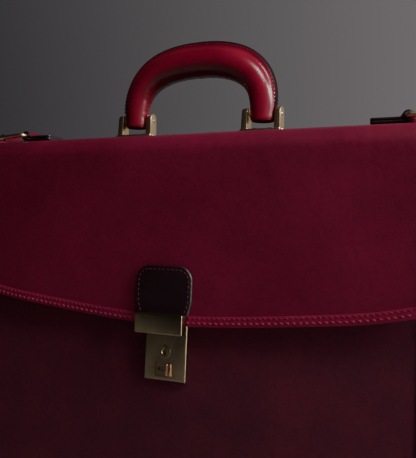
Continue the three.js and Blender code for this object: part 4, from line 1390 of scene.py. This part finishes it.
# ---- Parts that keep their CAD shape ----
BEVELS = {
    "hasp_bar": 1.1,
    "striker": 0.2,
    "latch_bolt": 0.1,
    "lock_back_plate": 0.2,
    "lock_cam": 0.1,
    "lock_rivet_1": 0.2,
    "lock_rivet_2": 0.2,
    "backing_plate_left": 0.2,
    "backing_plate_right": 0.2,
    "base_board": 0.4,
    "lid_board": 0.4,
}


def soften_edges(obj, width):
    """Joins the facets, clears the flat ones' inner edges, then rounds what is left."""
    obj.modifiers.new("weld", "WELD").merge_threshold = 0.000005
    flatten = obj.modifiers.new("flatten", "DECIMATE")
    flatten.decimate_type = "DISSOLVE"
    flatten.angle_limit = radians(2)
    bevel = obj.modifiers.new("bevel", "BEVEL")
    bevel.width = width * 0.001
    bevel.segments = 3
    bevel.limit_method = "ANGLE"
    bevel.angle_limit = radians(35)
    bevel.harden_normals = True


def finish_cad_nodes():
    slots = {row["node"]: row["material_slot"] for row in frame["record"]["subparts"]}
    for name, obj in frame["nodes"].items():
        obj.data.materials.clear()
        obj.data.materials.append(SLOT_MATERIALS[slots[name]])
        obj.data.polygons.foreach_set("use_smooth", [True] * len(obj.data.polygons))
        obj.data.set_sharp_from_angle(angle=radians(35))
        if name in BEVELS:
            soften_edges(obj, BEVELS[name])


LOCK_ROUNDING = 1.7
COLLAR_ROUNDING = 0.45


def lock_face():
    """The lock's case: its four front edges and the collar round the key are rounded over."""
    low, high = node_box("lock_case")
    node = frame["nodes"]["lock_case"]
    shell = bmesh.new()
    shell.from_mesh(node.data)
    shell.transform(node.matrix_world)
    bmesh.ops.scale(shell, vec=(1000, 1000, 1000), verts=shell.verts)
    bmesh.ops.remove_doubles(shell, verts=shell.verts, dist=0.002)
    bmesh.ops.dissolve_limit(shell, angle_limit=radians(1), verts=shell.verts, edges=shell.edges)
    plate = min(v.co.y for v in shell.verts if abs(v.co.x - low.x) < 0.02)

    def on_rim(at):
        sides = (at.x - low.x, at.x - high.x, at.z - low.z, at.z - high.z)
        return abs(at.y - plate) < 0.02 and min(abs(gap) for gap in sides) < 0.02

    def on_collar(edge):
        steep = len(edge.link_faces) == 2 and edge.calc_face_angle(0.0) > 0.6
        return steep and all(abs(v.co.y - low.y) < 0.02 for v in edge.verts)

    collar = [e for e in shell.edges if on_collar(e)]
    bmesh.ops.bevel(shell, geom=collar, offset=COLLAR_ROUNDING, segments=2, profile=0.5, affect="EDGES")
    rim = [e for e in shell.edges if all(on_rim(v.co) for v in e.verts)]
    bmesh.ops.bevel(shell, geom=rim, offset=LOCK_ROUNDING, segments=4, profile=0.5, affect="EDGES")
    shell.verts.index_update()
    verts = [v.co.copy() for v in shell.verts]
    faces = [tuple(v.index for v in face.verts) for face in shell.faces]
    shell.free()
    piece("lock_face", (verts, faces), "lock_brass", "case", ["lock_case"], sharp=30)


# ---- Stage ----
PHOTO_HEIGHT = 458
FOCAL_PIXELS = 710.6
SENSOR = 36.0
CAMERA_AT = vec(297.5, -555.05, HANDLE_BASE + 2 - 104.87)
AZIMUTH = radians(27)
PITCH = radians(1.772)
ROLL = radians(2.088)


def add_camera():
    level = vec(-sin(AZIMUTH), cos(AZIMUTH), 0)
    ahead = level * cos(PITCH) + vec(0, 0, sin(PITCH))
    right = ahead.cross(vec(0, 0, 1)).normalized()
    up = right.cross(ahead)
    x_axis = right * cos(ROLL) + up * sin(ROLL)
    y_axis = up * cos(ROLL) - right * sin(ROLL)
    turn = Matrix((x_axis, y_axis, -ahead)).transposed()
    data = bpy.data.cameras.new("camera")
    data.sensor_width = SENSOR
    data.lens = FOCAL_PIXELS * SENSOR / PHOTO_HEIGHT
    data.clip_start = 0.01
    camera = bpy.data.objects.new("camera", data)
    camera.matrix_world = Matrix.Translation(CAMERA_AT * 0.001) @ turn.to_4x4()
    bpy.context.scene.collection.objects.link(camera)
    bpy.context.scene.camera = camera


def add_light(name, at, target, size, watts, colour, spread_degrees=180):
    data = bpy.data.lights.new(name, "AREA")
    data.shape = "RECTANGLE"
    data.size, data.size_y = size
    data.energy = watts
    data.color = colour
    data.spread = radians(spread_degrees)
    light = bpy.data.objects.new(name, data)
    light.location = at
    light.rotation_euler = (Vector(target) - Vector(at)).to_track_quat("-Z", "Y").to_euler()
    bpy.context.scene.collection.objects.link(light)


FLOOR_HALF = 6.0  # metres


def add_floor():
    mesh = bpy.data.meshes.new("floor")
    far = FLOOR_HALF
    mesh.from_pydata([(-far, -far, 0), (far, -far, 0), (far, far, 0), (-far, far, 0)], [], [(0, 1, 2, 3)])
    floor = bpy.data.objects.new("floor", mesh)
    bpy.context.scene.collection.objects.link(floor)
    material, tree, shader = new_material("pale_floor")
    shade = ranged(tree, noise_node(tree, 3.0), 0.0, 1.0)
    dye(tree, shader, shade, (0.45, 0.44, 0.43), (0.5, 0.49, 0.48))
    shader.inputs["Roughness"].default_value = 0.7
    mesh.materials.append(material)
    floor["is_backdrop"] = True


def add_world():
    """A grey studio, darker to the left of the case than to the right, and dim in front of it."""
    world = bpy.data.worlds.new("studio")
    bpy.context.scene.world = world
    world.use_nodes = True
    tree = world.node_tree
    background = tree.nodes["Background"]
    place = tree.nodes.new("ShaderNodeTexCoord")
    split = tree.nodes.new("ShaderNodeSeparateXYZ")
    tree.links.new(place.outputs["Generated"], split.inputs["Vector"])
    side = ranged(tree, split.outputs["X"], 0.0, 1.0, -0.72, 1.0)
    colour = mixed_colour(tree, side, (0.033, 0.031, 0.035), (0.43, 0.395, 0.4))
    tree.links.new(colour, background.inputs["Color"])
    slanted = add_node(tree, "ShaderNodeMath", operation="MULTIPLY_ADD")
    tree.links.new(split.outputs["X"], slanted.inputs[0])
    slanted.inputs[1].default_value = 0.9
    tree.links.new(split.outputs["Y"], slanted.inputs[2])
    front = ranged(tree, slanted.outputs["Value"], 0.15, 1.0, -0.6, 0.1)
    overhead = ranged(tree, split.outputs["Z"], 1.0, 0.3, 0.5, 0.75)
    strength = add_node(tree, "ShaderNodeMath", operation="MULTIPLY")
    tree.links.new(front, strength.inputs[0])
    tree.links.new(overhead, strength.inputs[1])
    tree.links.new(strength.outputs["Value"], background.inputs["Strength"])


def stage():
    add_camera()
    add_world()
    add_floor()
    add_light("key", (0.4, -0.32, 0.94), (0, -0.04, 0.2), (0.3, 0.3), 0.85, (1, 0.97, 0.95), 95)
    add_light("side", (0.95, -0.2, 0.72), (0, -0.05, 0.24), (0.3, 0.5), 3.0, (1, 0.95, 0.9), 110)
    add_light("low_strip", (0.95, -0.28, 0.1), (0, -0.06, 0.14), (0.35, 0.16), 0.2, (1, 0.93, 0.84), 60)
    add_light("back", (-0.5, 1.3, 1.0), (0, 0, 0.2), (1.0, 0.8), 0.5, (0.95, 0.97, 1))


# ---- Build ----
finish_cad_nodes()
front_cover()
rear_cover()
lid_lining()
front_panel()
panel_trim()
bottom()
divider()
pocket()
closure_tab()
lock_face()
thumb_slide()
key_plug()
handle_grip()
handle_stitches()
for foot_index in range(1, 6):
    foot(foot_index)
for screw_index in range(1, 5):
    screw(screw_index)
for side_name, outward in (("left", -1), ("right", 1)):
    gusset("front", side_name, outward)
    gusset("rear", side_name, outward)
    bracket(side_name)
    pin(side_name)
    wire_ring(side_name, outward)
    chape(side_name, outward)
    side_strap(side_name, outward)
    stud(side_name, outward)
stage()


def corners(box):
    return [list(corner) for corner in box]


{"cad": corners(CAD_BOX), "visual": corners(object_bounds())}
